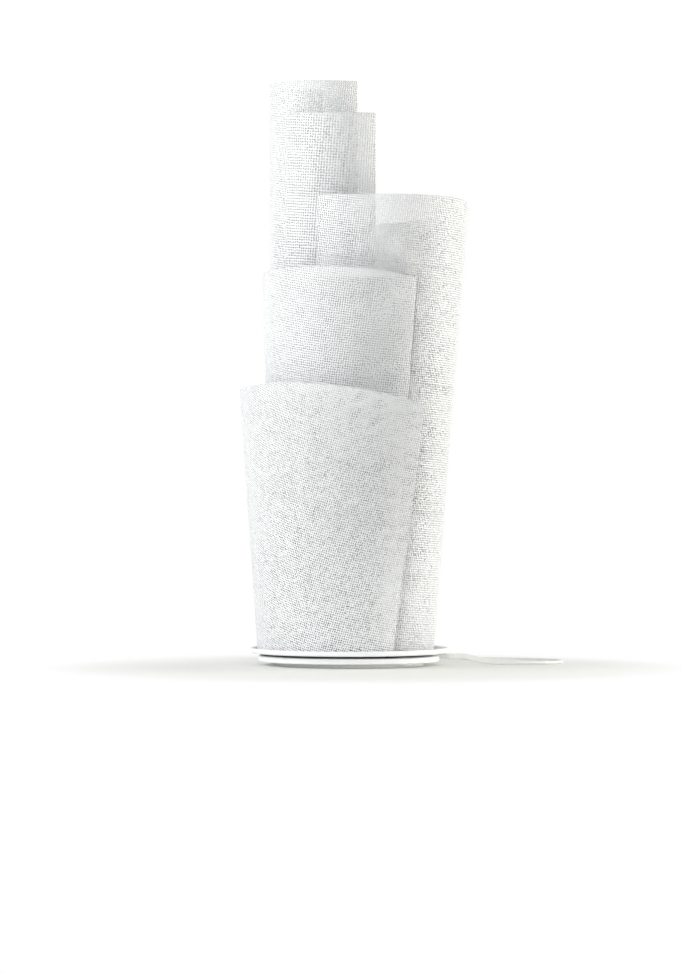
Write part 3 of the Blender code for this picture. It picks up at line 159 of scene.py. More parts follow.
CAP_RIM = ((13.3, 278.1), (13.2, 278.6), (13.2, 279.9))
NECK_RADII, NECK_LOW, NECK_HIGH = (12.6, 12.8, 14.2, 17.8, 23.3), 280.2, 315.3
GLOBE_RADIUS, GLOBE_LEVEL, GLOBE_FROM, GLOBE_TO = 30.0, 334.2, -37.0, 89.6

# The sleeve on the base: its line, the widths and heights of its stub, flange and boot, and where they end
SLEEVE_LINE = (0.0, 9.3)
SLEEVE_STUB, SLEEVE_FLANGE, SLEEVE_CORNER = (5.4, 6.2), (8.2, 6.5), 1.6
SLEEVE_STATIONS = (78.0, 89.3, 91.7, 116.0)
SLEEVE_NEAR, SLEEVE_FAR = (5.4, 6.5), (4.5, 6.4)
SLEEVE_PITCH = 3.0

# The boots of the switch and the plug: widths and heights at their roots and at their ends
SWITCH_BOOT, PLUG_BOOT, BOOT_END = (8.6, 6.0), (8.4, 6.8), (7.0, 4.4)
BOOT_LENGTH, BOOT_ROOT, BOOT_PITCH, BOOT_GROOVE = 6.0, 0.6, 2.0, 0.5

# The rocker's pivot and how far it tips at rest, and one grip across it
ROCKER_PLACE = Matrix.Translation((36.0 * MM, 124.0 * MM, 13.5 * MM)) @ Matrix.Rotation(-8.0 * DEG, 4, "Y")
GRIPS = (-8.5, -7.2, -5.9, 5.9, 7.2, 8.5)
GRIP = ((0.08, -3.9), (0.26, -3.8), (0.34, -3.5), (0.34, 3.5), (0.26, 3.8), (0.08, 3.9))
GRIP_LEVEL, GRIP_HOLLOW, GRIP_REACH = 5.8, 1.2, 10.0

# The plug: its line, its widths and heights as shares of the greatest, how its face is rounded, as distances
# from the face and insets, its grooves and where along it they lie, and its pins
PLUG_LINE = (178.0, 7.1)
PLUG_START, PLUG_LENGTH, PLUG_WIDTH, PLUG_HEIGHT, PLUG_CORNER = 30.0, 34.0, 35.0, 13.6, 2.8
PLUG_WIDTHS, PLUG_HEIGHTS = (0.28, 0.4, 0.67, 0.9, 1.0, 1.0), (0.62, 0.8, 0.945, 1.0, 1.0, 1.0)
PLUG_FLAT, PLUG_ROUNDING = 1.4, ((1.2, 0.0), (0.6, 0.25), (0.2, 0.6), (0.0, 1.2))
PLUG_SPACING, PLUG_GROOVE, PLUG_GROOVE_PITCH, PLUG_GROOVES, PLUG_FADE = 0.4, 0.6, 2.6, (0.06, 0.52), 12
PIN_OFFSET, PIN_ROOT, PIN_RADIUS, PIN_BALL = 9.3, 6.0, 2.0, 23.0
PIN_SLEEVE = ((1.8, 0.0), (1.8, 15.8), (1.7, 16.0))

# The floor is plain near this place and runs out to white further off, in metres
FLOOR_MIDDLE = (0.02, -0.06, 0.0)
FLOOR_PLAIN, FLOOR_WHITE, FLOOR_REACH = 0.13, 0.34, 60.0

# Colours of the lights and of what the user doesn't set
COOL, WARM, NEUTRAL, WHITE = (0.98, 0.99, 1.0), (1.0, 0.985, 0.9), (1.0, 0.99, 0.97), (1.0, 1.0, 1.0, 1.0)
CORE_BLUE, CORE_BROWN = (0.03, 0.09, 0.35), (0.16, 0.07, 0.035)


def colour_setting(name, description, default):
    """A colour that the user may change."""
    return FloatVectorProperty(name=name, description=description, default=default, subtype="COLOR", size=3)


def length_setting(name, description, default):
    """A length that the user may change, in metres."""
    return number_setting(name, description, default, unit="LENGTH")


def number_setting(name, description, default, **kind):
    """A number that the user may change, of a kind of Blender's where one fits."""
    return FloatProperty(name=name, description=description, default=default, **kind)


class LampSheetSettings(bpy.types.PropertyGroup):
    """The perforated sheets."""

    hole: number_setting("Hole", "Side of a square hole as a share of the pitch", 0.505, subtype="FACTOR")
    thickness: length_setting("Thickness", "Thickness of a sheet", 1.0 * MM)
    edge: length_setting("Edge", "Least metal between a hole and the outline", 0.45 * MM)
    clog: number_setting("Clog", "How much holes differ in patches, as a share", 0.05, subtype="FACTOR")
    least: number_setting("Least cell", "Smallest cell at the outline that still gets a hole, as a share of "
                          "a whole one", 0.3, subtype="FACTOR")
    cells: IntProperty(name="Cells in a band", description="Most cells in one piece of mesh", default=7600)
    coat: colour_setting("Coat", "Colour of the coat outside", (0.86, 0.87, 0.88))
    back: colour_setting("Back coat", "Colour of the coat inside", (0.8, 0.81, 0.815))
    cut: colour_setting("Cut metal", "Colour of the punched edges", (0.5, 0.505, 0.51))


class LampBaseSettings(bpy.types.PropertyGroup):
    """The base, its pad and its fixings."""

    coat: colour_setting("Coat", "Colour of the base's coat", (0.86, 0.87, 0.88))
    pad: colour_setting("Pad", "Colour of the foot pad", (0.85, 0.85, 0.83))
    rubber: colour_setting("Rubber", "Colour of the spacers", (0.03, 0.03, 0.033))
    zinc: colour_setting("Zinc", "Colour of screws, nuts and washer", (0.62, 0.62, 0.63))


class LampBulbSettings(bpy.types.PropertyGroup):
    """The lampholder and the bulb."""

    holder: colour_setting("Holder", "Colour of the lampholder", (0.84, 0.84, 0.83))
    core: colour_setting("Core", "Colour of the holder's ceramic core", (0.82, 0.78, 0.68))
    opal: colour_setting("Opal", "Colour of the opal globe", (0.9, 0.86, 0.78))
    nickel: colour_setting("Nickel", "Colour of the bulb's cap", (0.68, 0.66, 0.62))
    brass: colour_setting("Brass", "Colour of contacts and pins", (0.72, 0.55, 0.26))


class LampCordSettings(bpy.types.PropertyGroup):
    """The flat cord and what is on it."""

    width: length_setting("Width", "Width of the flat cord", 6.0 * MM)
    thickness: length_setting("Thickness", "Thickness of the flat cord", 3.4 * MM)
    length: length_setting("Length", "Length from the base to the plug", 1.79)
    sheath: colour_setting("Sheath", "Colour of the cord", (0.88, 0.88, 0.86))
    moulding: colour_setting("Moulding", "Colour of the switch and plug", (0.84, 0.84, 0.82))
    tie: colour_setting("Tie", "Colour of the coil's tie", (0.02, 0.02, 0.022))


class LampStageSettings(bpy.types.PropertyGroup):
    """Floor, light and camera."""

    floor: colour_setting("Floor", "Colour of the floor", (0.92, 0.92, 0.888))
    side_power: number_setting("Side light", "Power of each side light in watts", 25.0)
    front_power: number_setting("Front light", "Power of the front light in watts", 15.5)
    low_power: number_setting("Low light", "Power of the light along the floor in watts", 0.055)
    fill: number_setting("Fill", "Strength of the white surroundings as light", 0.48)
    lens: number_setting("Lens", "Focal length in millimetres", 180.55)
    eye: FloatVectorProperty(name="Eye", description="Place of the camera", subtype="TRANSLATION",
                             default=(-0.00904, -5.19, 0.2425), size=3)
    tilt: number_setting("Tilt", "How far the camera looks down", 0.5812 * DEG, subtype="ANGLE")


def opaque(colour):
    """A colour with full alpha; anything else as it is."""
    return (*colour, 1.0) if hasattr(colour, "__len__") else colour


def seen_plainly(finish):
    """1 for the rays of the camera, of gloss and of glass, and 0 for those that light the lamp."""
    ray = finish.node("ShaderNodeLightPath", output="Is Camera Ray")
    return (ray + ray.other("Is Glossy Ray") + ray.other("Is Transmission Ray")).clamped()


class Wire:
    """A socket of a finish's node tree, with arithmetic that adds Math nodes."""

    def __init__(self, finish, socket):
        self.finish = finish
        self.socket = socket

    def math(self, operation, first, second=0.0, clamp=False):
        """The result of a Math node."""
        return self.finish.node("ShaderNodeMath", {"operation": operation, "use_clamp": clamp},
                                {0: first, 1: second})

    def __add__(self, other):
        return self.math("ADD", self, other)

    def __radd__(self, other):
        return self.math("ADD", other, self)

    def __sub__(self, other):
        return self.math("SUBTRACT", self, other)

    def __rsub__(self, other):
        return self.math("SUBTRACT", other, self)

    def __mul__(self, other):
        return self.math("MULTIPLY", self, other)

    def __rmul__(self, other):
        return self.math("MULTIPLY", other, self)

    def __truediv__(self, other):
        return self.math("DIVIDE", self, other)

    def clamped(self):
        return self.math("ADD", self, 0.0, clamp=True)

    def sine(self):
        return self.math("SINE", self)

    def other(self, output):
        """Another output of the same node."""
        return Wire(self.finish, self.socket.node.outputs[output])


class Finish:
    """A material under construction, or a world."""

    def __init__(self, name, blocks=None):
        self.material = (bpy.data.materials if blocks is None else blocks).new(name)
        self.material.use_nodes = True
        self.tree = self.material.node_tree
        self.tree.nodes.clear()

    def node(self, kind, settings=None, inputs=None, output=0):
        """Adds a node of a type with its settings and its sockets' values or links."""
        made = self.tree.nodes.new(kind)
        for name, value in (settings or {}).items():
            setattr(made, name, value)
        for name, value in (inputs or {}).items():
            if isinstance(value, Wire):
                self.tree.links.new(value.socket, made.inputs[name])
            else:
                made.inputs[name].default_value = value
        return Wire(self, made.outputs[output] if made.outputs else None)

    def place(self):
        """The place on the object, in metres."""
        return self.node("ShaderNodeTexCoord", output="Object")

    def axes(self, place):
        """A place's three coordinates."""
        split = self.node("ShaderNodeSeparateXYZ", None, {"Vector": place})
        return [split.other(axis) for axis in "XYZ"]

    def speckle(self, size, detail, place=None):
        """Noise from 0 to 1 whose grains are about this size, in metres."""
        return self.node("ShaderNodeTexNoise", None,
                         {"Vector": place or self.place(), "Scale": 1.0 / size, "Detail": detail})

    def open_to(self, reach):
        """1 where the surface is open to its surroundings, less where others lie within reach."""
        return self.node("ShaderNodeAmbientOcclusion", {"samples": 6}, {"Distance": reach}, output="AO")

    def tint(self, amount, first, second):
        """A mix of two colours."""
        return self.node("ShaderNodeMix", {"data_type": "RGBA"},
                         {0: amount, 6: opaque(first), 7: opaque(second)}, output=2)

    def shades(self, amount, colour, dark, light):
        """A mix of a darker and a lighter shade of one colour."""
        return self.tint(amount, shade(colour, dark), shade(colour, light))

    def bump(self, height, strength, distance):
        """A normal from a height."""
        return self.node("ShaderNodeBump", None,
                         {"Height": height, "Strength": strength, "Distance": distance})

    def surface(self, **sockets):
        """The shader itself, with its sockets named in words, and the finished material."""
        names = {"colour": "Base Color", "roughness": "Roughness", "metallic": "Metallic",
                 "normal": "Normal", "coat": "Coat Weight", "coat_roughness": "Coat Roughness",
                 "sheen": "Sheen Weight"}
        shader = self.node("ShaderNodeBsdfPrincipled", None,
                           {names[name]: opaque(value) for name, value in sockets.items()})
        self.node("ShaderNodeOutputMaterial", None, {"Surface": shader})
        return self.material


def shade(colour, factor):
    """A colour made lighter or darker."""
    return tuple(min(1.0, channel * factor) for channel in colour)


def powder_coat(name, colour, grain=0.5 * MM, roughness=0.36, dust_and_shade=None, mottle=0.0):
    """Matt powder coat: a slight orange peel, faint clouding, and painted shade where the given function says.
    """
    finish = Finish(name)
    cloud = finish.speckle(60 * MM, 2.0) + mottle * (finish.speckle(3.2 * MM, 1.0) - 0.5)
    peel = finish.speckle(grain, 2.0)
    colour_here = finish.shades(cloud.clamped(), colour, 0.965, 1.02)
    if dust_and_shade is not None:
        # Painted shade: the coat runs towards a near-black shade of its colour as far as the given function
        # says
        colour_here = finish.tint(dust_and_shade(finish), colour_here, shade(colour, 0.05))
    return finish.surface(colour=colour_here, roughness=roughness + 0.12 * finish.speckle(9 * MM, 3.0),
                          normal=finish.bump(peel, 0.18, 0.05 * MM))


def painted_shade_under(covered, limit, upper, added, reach=60 * MM, fringe=4 * MM):
    """Painted shade on a sheet's outside where other surfaces lie within reach, below the rim of the sheet
    round it, from there down to the foot.
    """
    def amount(finish):
        below = covered - finish.axes(finish.place())[2]
        hidden = ((limit - finish.open_to(reach)) * 2).clamped() * (below / fringe).clamped()
        return (hidden * (upper + added * (below / covered))).clamped()
    return amount


def painted_shade_inside(finish, reach=110 * MM, most=0.4):
    """Painted shade on a sheet's inside where other surfaces lie within reach, less towards its rim and its
    free edge.
    """
    return (1 - finish.open_to(reach)) * most


def grained(name, colour, cloud, shades, grain, roughness, relief, **sockets):
    """A finish clouded between two shades of its colour, with a fine grain that roughens and lifts it."""
    finish = Finish(name)
    fine = finish.speckle(*grain)
    return finish.surface(colour=finish.shades(finish.speckle(*cloud), colour, *shades),
                          roughness=roughness[0] + roughness[1] * fine, normal=finish.bump(fine, *relief),
                          **sockets)


def zinc_plate(name, colour):
    """Zinc-plated steel: fine grain, a soft lustre and faint stains."""
    return grained(name, colour, (3 * MM, 2.0), (0.86, 1.08), (0.35 * MM, 3.0), (0.24, 0.2),
                   (0.12, 0.03 * MM), metallic=1.0)


def moulded(name, colour, roughness=0.33):
    """Moulded plastic with a fine spark-eroded grain."""
    return grained(name, colour, (14 * MM, 2.0), (0.965, 1.02), (0.22 * MM, 1.0), (roughness, 0.1),
                   (0.35, 0.03 * MM))


def sheath(name, colour):
    """Soft white cord sheath: slightly glossy, faintly marked by handling."""
    return grained(name, colour, (7 * MM, 4.0), (0.95, 1.02), (0.5 * MM, 2.0), (0.42, 0.12),
                   (0.15, 0.04 * MM))


def rubber(name, colour, dust_and_shade=4.0):
    """Dull rubber with dust in its grain."""
    finish = Finish(name)
    dust = finish.speckle(1.6 * MM, 4.0)
    grain = finish.speckle(0.3 * MM, 1.0)
    return finish.surface(colour=finish.tint((dust - 0.45).clamped(), colour, shade(colour, dust_and_shade)),
                          roughness=0.72 + 0.2 * grain, normal=finish.bump(grain, 0.4, 0.05 * MM))


def glazed(name, colour, cloud, shades, roughness, coat, coat_roughness):
    """A clouded body under a thin clear gloss."""
    finish = Finish(name)
    here = finish.speckle(*cloud)
    return finish.surface(colour=finish.shades(here, colour, *shades),
                          roughness=roughness[0] + roughness[1] * here, coat=coat,
                          coat_roughness=coat_roughness)


def opal_glass(name, colour):
    """Opal glass: milky and smooth."""
    return glazed(name, colour, (22 * MM, 2.0), (0.96, 1.03), (0.12, 0.06), 0.4, 0.05)


def glazed_core(name, colour):
    """Cream ceramic with a thin glaze."""
    return glazed(name, colour, (5 * MM, 3.0), (0.93, 1.04), (0.3, 0.15), 0.25, 0.15)


def plain_metal(name, colour, roughness, streaks):
    """Drawn or turned metal with fine rings round it."""
    finish = Finish(name)
    x, y, z = finish.axes(finish.place())
    flat = finish.node("ShaderNodeCombineXYZ", None, {"X": x * 0.05, "Y": y * 0.05, "Z": z})
    ring = finish.speckle(streaks, 2.0, flat)
    return finish.surface(colour=finish.shades(ring, colour, 0.85, 1.1), metallic=1.0,
                          roughness=roughness + 0.14 * ring)


def woven_tie(name, colour, thread=0.5 * MM):
    """Hook-and-loop strip: a tight twill of dark threads with a fuzzy top."""
    finish = Finish(name)
    x, y, z = finish.axes(finish.place())
    weave = ((x + y + z) * (math.pi / thread)).sine() * ((y - x + z) * (math.pi / thread)).sine()
    lift = weave * 0.3 + finish.speckle(0.3 * MM, 3.0)
    return finish.surface(colour=finish.tint(lift.clamped(), colour, shade(colour, 3.5)), roughness=0.9,
                          normal=finish.bump(lift, 0.8, 0.15 * MM), sheen=0.3)


def floor_finish(name, colour):
    """Pale matt floor that keeps the shadow near the lamp and runs out to plain white round it."""
    finish = Finish(name)
    reach = finish.node("ShaderNodeVectorMath", {"operation": "DISTANCE"},
                        {0: finish.place(), 1: FLOOR_MIDDLE}, output="Value")
    away = ((reach - FLOOR_PLAIN) / (FLOOR_WHITE - FLOOR_PLAIN)).clamped()
    paint = finish.node("ShaderNodeBsdfPrincipled", None, {
        "Base Color": finish.shades(finish.speckle(120 * MM, 2.0), colour, 0.99, 1.01),
        "Roughness": 0.6 + 0.2 * finish.speckle(0.8 * MM, 2.0)})
    white = finish.node("ShaderNodeEmission", None, {"Color": WHITE, "Strength": 1.0})
    mixed = finish.node("ShaderNodeMixShader", None,
                        {0: away * away * seen_plainly(finish), 1: paint, 2: white})
    finish.node("ShaderNodeOutputMaterial", None, {"Surface": mixed})
    return finish.material


def dress(node, finish, rounding=0.0):
    """Gives a solid of the frame its finish, and rounds its edges where a radius is given."""
    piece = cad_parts[node]
    if not piece.material_slots:
        piece.data.materials.append(finish)
    for slot in piece.material_slots:
        slot.material = finish
    if rounding:
        bevel = piece.modifiers.new("rounded", "BEVEL")
        bevel.width = rounding
        bevel.segments = 2
        bevel.limit_method = "ANGLE"
        bevel.angle_limit = 40 * DEG


def add_piece(name, mesh, finishes, stands_for=(), body=BODY):
    """Links a mesh as a piece of the lamp that rides on a body."""
    piece = bpy.data.objects.new(name, mesh)
    for finish in finishes:
        mesh.materials.append(finish)
    bpy.context.scene.collection.objects.link(piece)
    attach(piece, body)
    if stands_for:
        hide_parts(*stands_for)
    return piece


def from_bmesh(bm, name, sharp):
    """A mesh shaded smooth between its sharp edges."""
    bmesh.ops.remove_doubles(bm, verts=bm.verts, dist=0.0005 * MM)
    bmesh.ops.recalc_face_normals(bm, faces=bm.faces)
    mesh = bpy.data.meshes.new(name)
    bm.to_mesh(mesh)
    bm.free()
    mesh.shade_smooth()
    mesh.set_sharp_from_angle(angle=sharp)
    return mesh


def walls(near, far):
    """The corners of the faces between two rings."""
    return [(near[i - 1], near[i], far[i], far[i - 1]) for i in range(len(near))]


def skinned(bm, rings, joined, place, material):
    """A skin over rings of equally many points in millimetres, with its ends capped or joined in a loop."""
    place = (place or Matrix.Identity(4)) @ Matrix.Scale(MM, 4)
    made = [[bm.verts.new(place @ Vector(point)) for point in ring] for ring in rings]
    if joined:
        made.append(made[0])
    faces = [] if joined else [made[0][::-1], made[-1]]
    for near, far in zip(made, made[1:]):
        faces += walls(near, far)
    for corners in faces:
        bm.faces.new(corners).material_index = material


def add_skins(name, skins, finishes, stands_for=(), joined=False, place=None, body=BODY,
              sharp=SHARP):
    """Makes a piece of one or more skins over rings; each takes the finish of its number, or the last one."""
    bm = bmesh.new()
    for number, rings in enumerate(skins):
        skinned(bm, rings, joined, place, min(number, len(finishes) - 1))
    return add_piece(name, from_bmesh(bm, name, sharp), finishes, stands_for, body)


def between(a, b, share):
    """A value between two others."""
    return a + (b - a) * share


def bowed(a, b, c, d, t):
    """A value between b and c on the smooth curve that comes from a and goes on to d."""
    return 0.5 * (2 * b + (c - a) * t + (2 * a - 5 * b + 4 * c - d) * t**2 + (3 * b - a - 3 * c + d) * t**3)


def eased(values, share):
    """Smooth values through evenly spaced ones, at shares from 0 to 1."""
    values = np.asarray(values, float)
    place = np.clip(np.asarray(share, float), 0, 1) * (len(values) - 1)
    at = np.minimum(place.astype(int), len(values) - 2)
    return bowed(values[np.maximum(at - 1, 0)], values[at], values[at + 1],
                 values[np.minimum(at + 2, len(values) - 1)], place - at)


class BentSheet:
    """A flat perforated blank and the open tube that it is bent to."""

    def __init__(self, facts):
        foot, top, rim, start, end, fall, self.tabs = facts
        self.foot, self.top = np.array(foot) * MM, np.array(top) * MM
        self.rim, self.start, self.end = rim * MM, start * DEG, end * DEG
        self.sweep = abs(self.end - self.start)
        self.fall = np.array(fall) * MM
        self.height = self.rim - SHEET_FOOT
        flare = (self.top[2] - self.foot[2]) / self.height
        self.slope = flare / math.sqrt(1 + flare * flare)
        self.apex = self.foot[2] / self.slope if self.slope > 1e-6 else None

    def bent(self, along, across):
        """Where points of the blank lie on the tube: their share of the sweep and their height."""
        if self.apex is None:
            return across / self.foot[2] / self.sweep, SHEET_FOOT + along
        share = np.arctan2(across, along + self.apex) / self.slope / self.sweep
        rise = (np.hypot(along + self.apex, across) - self.apex) * math.sqrt(1 - self.slope**2)
        return share, SHEET_FOOT + rise

    def inside(self, share, height):
        """How far inside each edge of the outline a point lies, in metres: foot, rim, free edge, far end."""
        width = self.sweep * between(self.foot[2], self.top[2], (height - SHEET_FOOT) / self.height)
        return np.stack([height - SHEET_FOOT, self.rim - eased(self.fall, share) - height,
                         share * width, (1 - share) * width])

    def points(self, share, height):
        """The points on the tube."""
        rise = (height - SHEET_FOOT) / self.height
        turn = self.start + (self.end - self.start) * share
        x, y, radius = (between(a, b, rise) for a, b in zip(self.foot, self.top))
        return np.stack([x + radius * np.cos(turn), y + radius * np.sin(turn), height], axis=-1)

    def extent(self):
        """The lowest and highest place on the blank along the free edge, and the furthest across it."""
        if self.apex is None:
            return 0.0, self.height, self.foot[2] * self.sweep
        shares, heights = np.meshgrid(np.linspace(0, 1, 60), np.linspace(0, 1, 20))
        out = self.apex + heights * self.height / math.sqrt(1 - self.slope**2)
        turn = shares * self.sweep * self.slope
        along, across = out * np.cos(turn) - self.apex, out * np.sin(turn)
        return along.min(), along.max(), across.max()

    def clipped(self, shape):
        """A cell's corners on the blank, cut to the outline."""
        for edge in range(4):
            kept = []
            depth = [float(self.inside(*self.bent(*corner))[edge]) for corner in shape]
            for i, corner in enumerate(shape):
                j = (i + 1) % len(shape)
                if depth[i] >= 0:
                    kept.append(corner)
                if (depth[i] >= 0) != (depth[j] >= 0):
                    kept.append(between(corner, shape[j], depth[i] / (depth[i] - depth[j])))
            shape = kept
            if len(shape) < 3:
                return []
        return shape


def area_of(shape):
    """The area of a flat outline."""
    x, y = np.array(shape).T
    return abs(np.dot(x, np.roll(y, 1)) - np.dot(y, np.roll(x, 1))) / 2


def cell_corners(bent, pitch_across, pitch_along, climb):
    """The corners of the cells that cover a blank, in rows and columns turned by the climb."""
    low, high, wide = bent.extent()
    turn = np.array(((math.cos(climb), math.sin(climb)), (-math.sin(climb), math.cos(climb))))
    pitches = (pitch_along, pitch_across)
    at = np.array([(along, across) for along in (low, high) for across in (0.0, wide)]) @ turn / pitches
    lines = [np.arange(first, last + 1) * pitch
             for first, last, pitch in zip(np.floor(at.min(axis=0)), np.ceil(at.max(axis=0)), pitches)]
    grid = np.stack(np.meshgrid(*lines, indexing="ij"), axis=-1) @ turn.T
    return np.stack([grid[:-1, :-1], grid[1:, :-1], grid[1:, 1:], grid[:-1, 1:]], axis=2)


def scattered_holes(corners, hole, uneven, wander, clog, seed):
    """The cells' holes as they would be all even, and as they are."""
    chance = np.random.default_rng(seed)
    rows, columns = corners.shape[:2]
    middle = corners.mean(axis=2, keepdims=True)
    even = middle + (corners - middle) * hole
    patches = chance.normal(0, 1, (rows + 2, columns + 2))
    patches = sum(patches[i:i + rows, j:j + columns] for i in range(3) for j in range(3)) / 3
    sizes = 1 + uneven * chance.uniform(-1, 1, (rows, columns, 1, 2)) + clog * patches[..., None, None]
    holes = middle + (even - middle) * sizes.clip(LEAST_SIZE, MOST_SIZE)
    return even, holes + wander * chance.uniform(-1, 1, middle.shape)


def cut_cells(bent, corners, hole, least):
    """The faces of cells that the outline cuts, with a hole in those larger than the least area."""
    faces = []
    for cell in corners:
        shape = bent.clipped(list(cell))
        if shape and area_of(shape) > least:
            inner = np.mean(shape, axis=0) * (1 - hole) + np.array(shape) * hole
            faces += walls(shape, inner)
        elif shape:
            faces.append(shape)
    return faces


def flat_mesh(name, bent, quads, shapes):
    """A mesh on the tube of quads and other shapes on the blank."""
    others = np.array([corner for shape in shapes for corner in shape]).reshape(-1, 2)
    flat = np.concatenate([quads.reshape(-1, 2), others])
    sizes = np.concatenate([np.full(len(quads), 4), [len(shape) for shape in shapes]]).astype(np.int32)
    keys = np.round(flat / SAME_POINT).astype(np.int64)
    _, keep, index = np.unique(keys, axis=0, return_index=True, return_inverse=True)
    places = bent.points(*bent.bent(*flat[keep].T))
    mesh = bpy.data.meshes.new(name)
    mesh.vertices.add(len(places))
    mesh.vertices.foreach_set("co", places.astype(np.float32).ravel())
    mesh.loops.add(len(flat))
    mesh.loops.foreach_set("vertex_index", index.ravel().astype(np.int32))
    mesh.polygons.add(len(sizes))
    mesh.polygons.foreach_set("loop_start", (np.cumsum(sizes) - sizes).astype(np.int32))
    mesh.update(calc_edges=True)
    mesh.validate()
    if bent.end > bent.start:
        mesh.flip_normals()
    return mesh


def perforated_bands(name, bent, settings, seed):
    """The meshes of a perforated sheet's middle surface, split into bands of rows."""
    pitch_across, pitch_along, climb, large, uneven, wander = SHEET_HOLES[name]
    hole = settings.hole * large
    corners = cell_corners(bent, pitch_across, pitch_along, climb)
    even, holes = scattered_holes(corners, hole, uneven, wander, settings.clog, seed)

    def depth(points):
        return bent.inside(*bent.bent(points[..., 0], points[..., 1]))

    near_edge = depth(holes).min(axis=(0, -1)) < settings.edge
    holes = np.where(near_edge[..., None, None], even, holes)
    cells = depth(corners)
    punched = (cells.min(axis=(0, -1)) >= 0) & (depth(holes).min(axis=(0, -1)) >= settings.edge)
    part = (cells.max(axis=-1).min(axis=0) > 0) & ~punched
    counts = np.cumsum(punched.sum(axis=1))
    meshes, start = [], 0
    while start < len(corners):
        done = counts[start - 1] if start else 0
        stop = int(np.searchsorted(counts, done + settings.cells, side="right"))
        band = slice(start, min(max(stop, start + 1), len(corners)))
        outer, inner = corners[band][punched[band]], holes[band][punched[band]]
        quads = np.stack([outer, np.roll(outer, -1, 1), np.roll(inner, -1, 1), inner], axis=2)
        shapes = cut_cells(bent, corners[band][part[band]], hole, settings.least * pitch_across * pitch_along)
        meshes.append(flat_mesh(f"{name}_{len(meshes) + 1}", bent, quads.reshape(-1, 4, 2), shapes))
        start = band.stop
    return meshes


def once_round(count):
    """Evenly spaced angles once round."""
    return [2 * math.pi * i / count for i in range(count)]


def foot_tab(bm, thickness, place):
    """A foot tab: a plate with round corners and a screw hole, its root in the sheet's wall."""
    half = TAB_SIDE / 2
    corner = [(TAB_CORNER - TAB_SIDE - TAB_CORNER * math.sin(turn),
               half - TAB_CORNER + TAB_CORNER * math.cos(turn)) for turn in np.linspace(0, math.pi / 2, 7)]
    outline = [(0.0, -half), (0.0, half), *corner, *((x, -y) for x, y in corner[::-1])]
    ring = [(-half + TAB_HOLE * math.cos(turn), TAB_HOLE * math.sin(turn)) for turn in once_round(24)]
    layers = []
    for z in (0.0, thickness):
        made = [[bm.verts.new(place @ Vector((x, y, z))) for x, y in loop] for loop in (outline, ring)]
        edges = [bm.edges.new(ends) for loop in made for ends in zip(loop, loop[1:] + loop[:1])]
        bmesh.ops.triangle_fill(bm, edges=edges, use_beauty=True)
        layers.append(made)
    for lower, upper in zip(*layers):
        for corners in walls(lower, upper):
            bm.faces.new(corners)


def turned(outline, count, cut=None, centre=(0.0, 0.0)):
    """Rings round the Z axis, or a line beside it, through radii and heights, less what is cut away there."""
    rings = []
    for radius, z in outline:
        ring = []
        for turn in once_round(count):
            reach = radius - (cut(turn, z) if cut else 0.0)
            ring.append((centre[0] + reach * math.cos(turn), centre[1] + reach * math.sin(turn), z))
        rings.append(ring)
    return rings


def upright(radius, low, high, spacing):
    """A straight stretch of an outline, from one height to another."""
    count = max(1, round((high - low) / spacing))
    return [(radius, between(low, high, i / count)) for i in range(count + 1)]


def wave(depth, fade, phase):
    """How far a grooved surface lies below the plain one; a fade from 0 to 1 says how much of that is left."""
    return depth * max(0.0, min(1.0, fade)) * (0.5 - 0.5 * math.cos(phase))


def thread(pitch, depth, low, high):
    """A helical thread between two heights, for turned rings."""
    return lambda turn, z: wave(depth, min(z - low, high - z) / pitch, 2 * math.pi * z / pitch - turn)


def flutes(count, depth, low, high):
    """Upright flutes between two heights, for turned rings."""
    return lambda turn, z: wave(depth, min(z - low, (high - z) / 0.8), count * turn)


def cross_ring(count, arm, half, z):
    """A ring in the form of a cross with arms of a length and half width."""
    ring = []
    for turn in once_round(count):
        c, s = max(abs(math.cos(turn)), 1e-6), max(abs(math.sin(turn)), 1e-6)
        reach = max(min(arm / c, half / s), min(half / c, arm / s))
        ring.append((reach * math.cos(turn), reach * math.sin(turn), z))
    return ring


def cross_screw(node, sizes, finish, head_up=True, sides=64):
    """A threaded pan-head screw with a cross recess, in place of a plain one."""
    shank, head, rise, pitch = sizes
    (x0, y0, low), (x1, y1, high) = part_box(node)
    length = (high - low) / MM - rise
    tip = [(shank * 0.35, -length), (shank * 0.8, -length + 0.5 * shank)]
    pan = [(head * wide, rise * tall) for wide, tall in (
        (0.97, 0.0), (1.0, 0.06), (1.0, 0.4), (0.97, 0.62), (0.88, 0.83), (0.74, 0.96), (0.62, 1.0))]
    rings = turned([*tip, *upright(shank, -length + 0.7 * shank, -0.1, pitch / 6), (shank, 0.0), *pan],
                   sides, thread(pitch, 0.22 * pitch, -length, 0.0))
    rings += [cross_ring(sides, head * 0.56, head * 0.15, rise),
              cross_ring(sides, head * 0.42, head * 0.1, rise * 0.3)]
    middle = ((x0 + x1) / 2, (y0 + y1) / 2)
    if head_up:
        place = Matrix.Translation((*middle, high - rise * MM))
    else:
        place = Matrix.Translation((*middle, low + rise * MM)) @ Matrix.Rotation(math.pi, 4, "X")
    return add_skins(f"{node}_threaded", [rings], (finish,), (node,), place=place)


def hex_nut(across, height, bore, bottom, count=96, slope=0.58):
    """The rings of a hexagon nut whose corners are chamfered at a slope."""
    turns = once_round(count)
    corner = [across / 2 / math.cos(turn % (math.pi / 3) - math.pi / 6) for turn in turns]
    land = across * NUT_LAND
    drop = [(radius - land) * slope for radius in corner]
    flat = [0.0] * count

    def ring(radii, heights):
        return [(radius * math.cos(turn), radius * math.sin(turn), bottom + z)
                for radius, turn, z in zip(radii, turns, heights)]

    lower = [ring([bore] * count, flat), ring([land] * count, flat), ring(corner, drop)]
    return lower + [[(x, y, 2 * bottom + height - z) for x, y, z in level] for level in lower[::-1]]


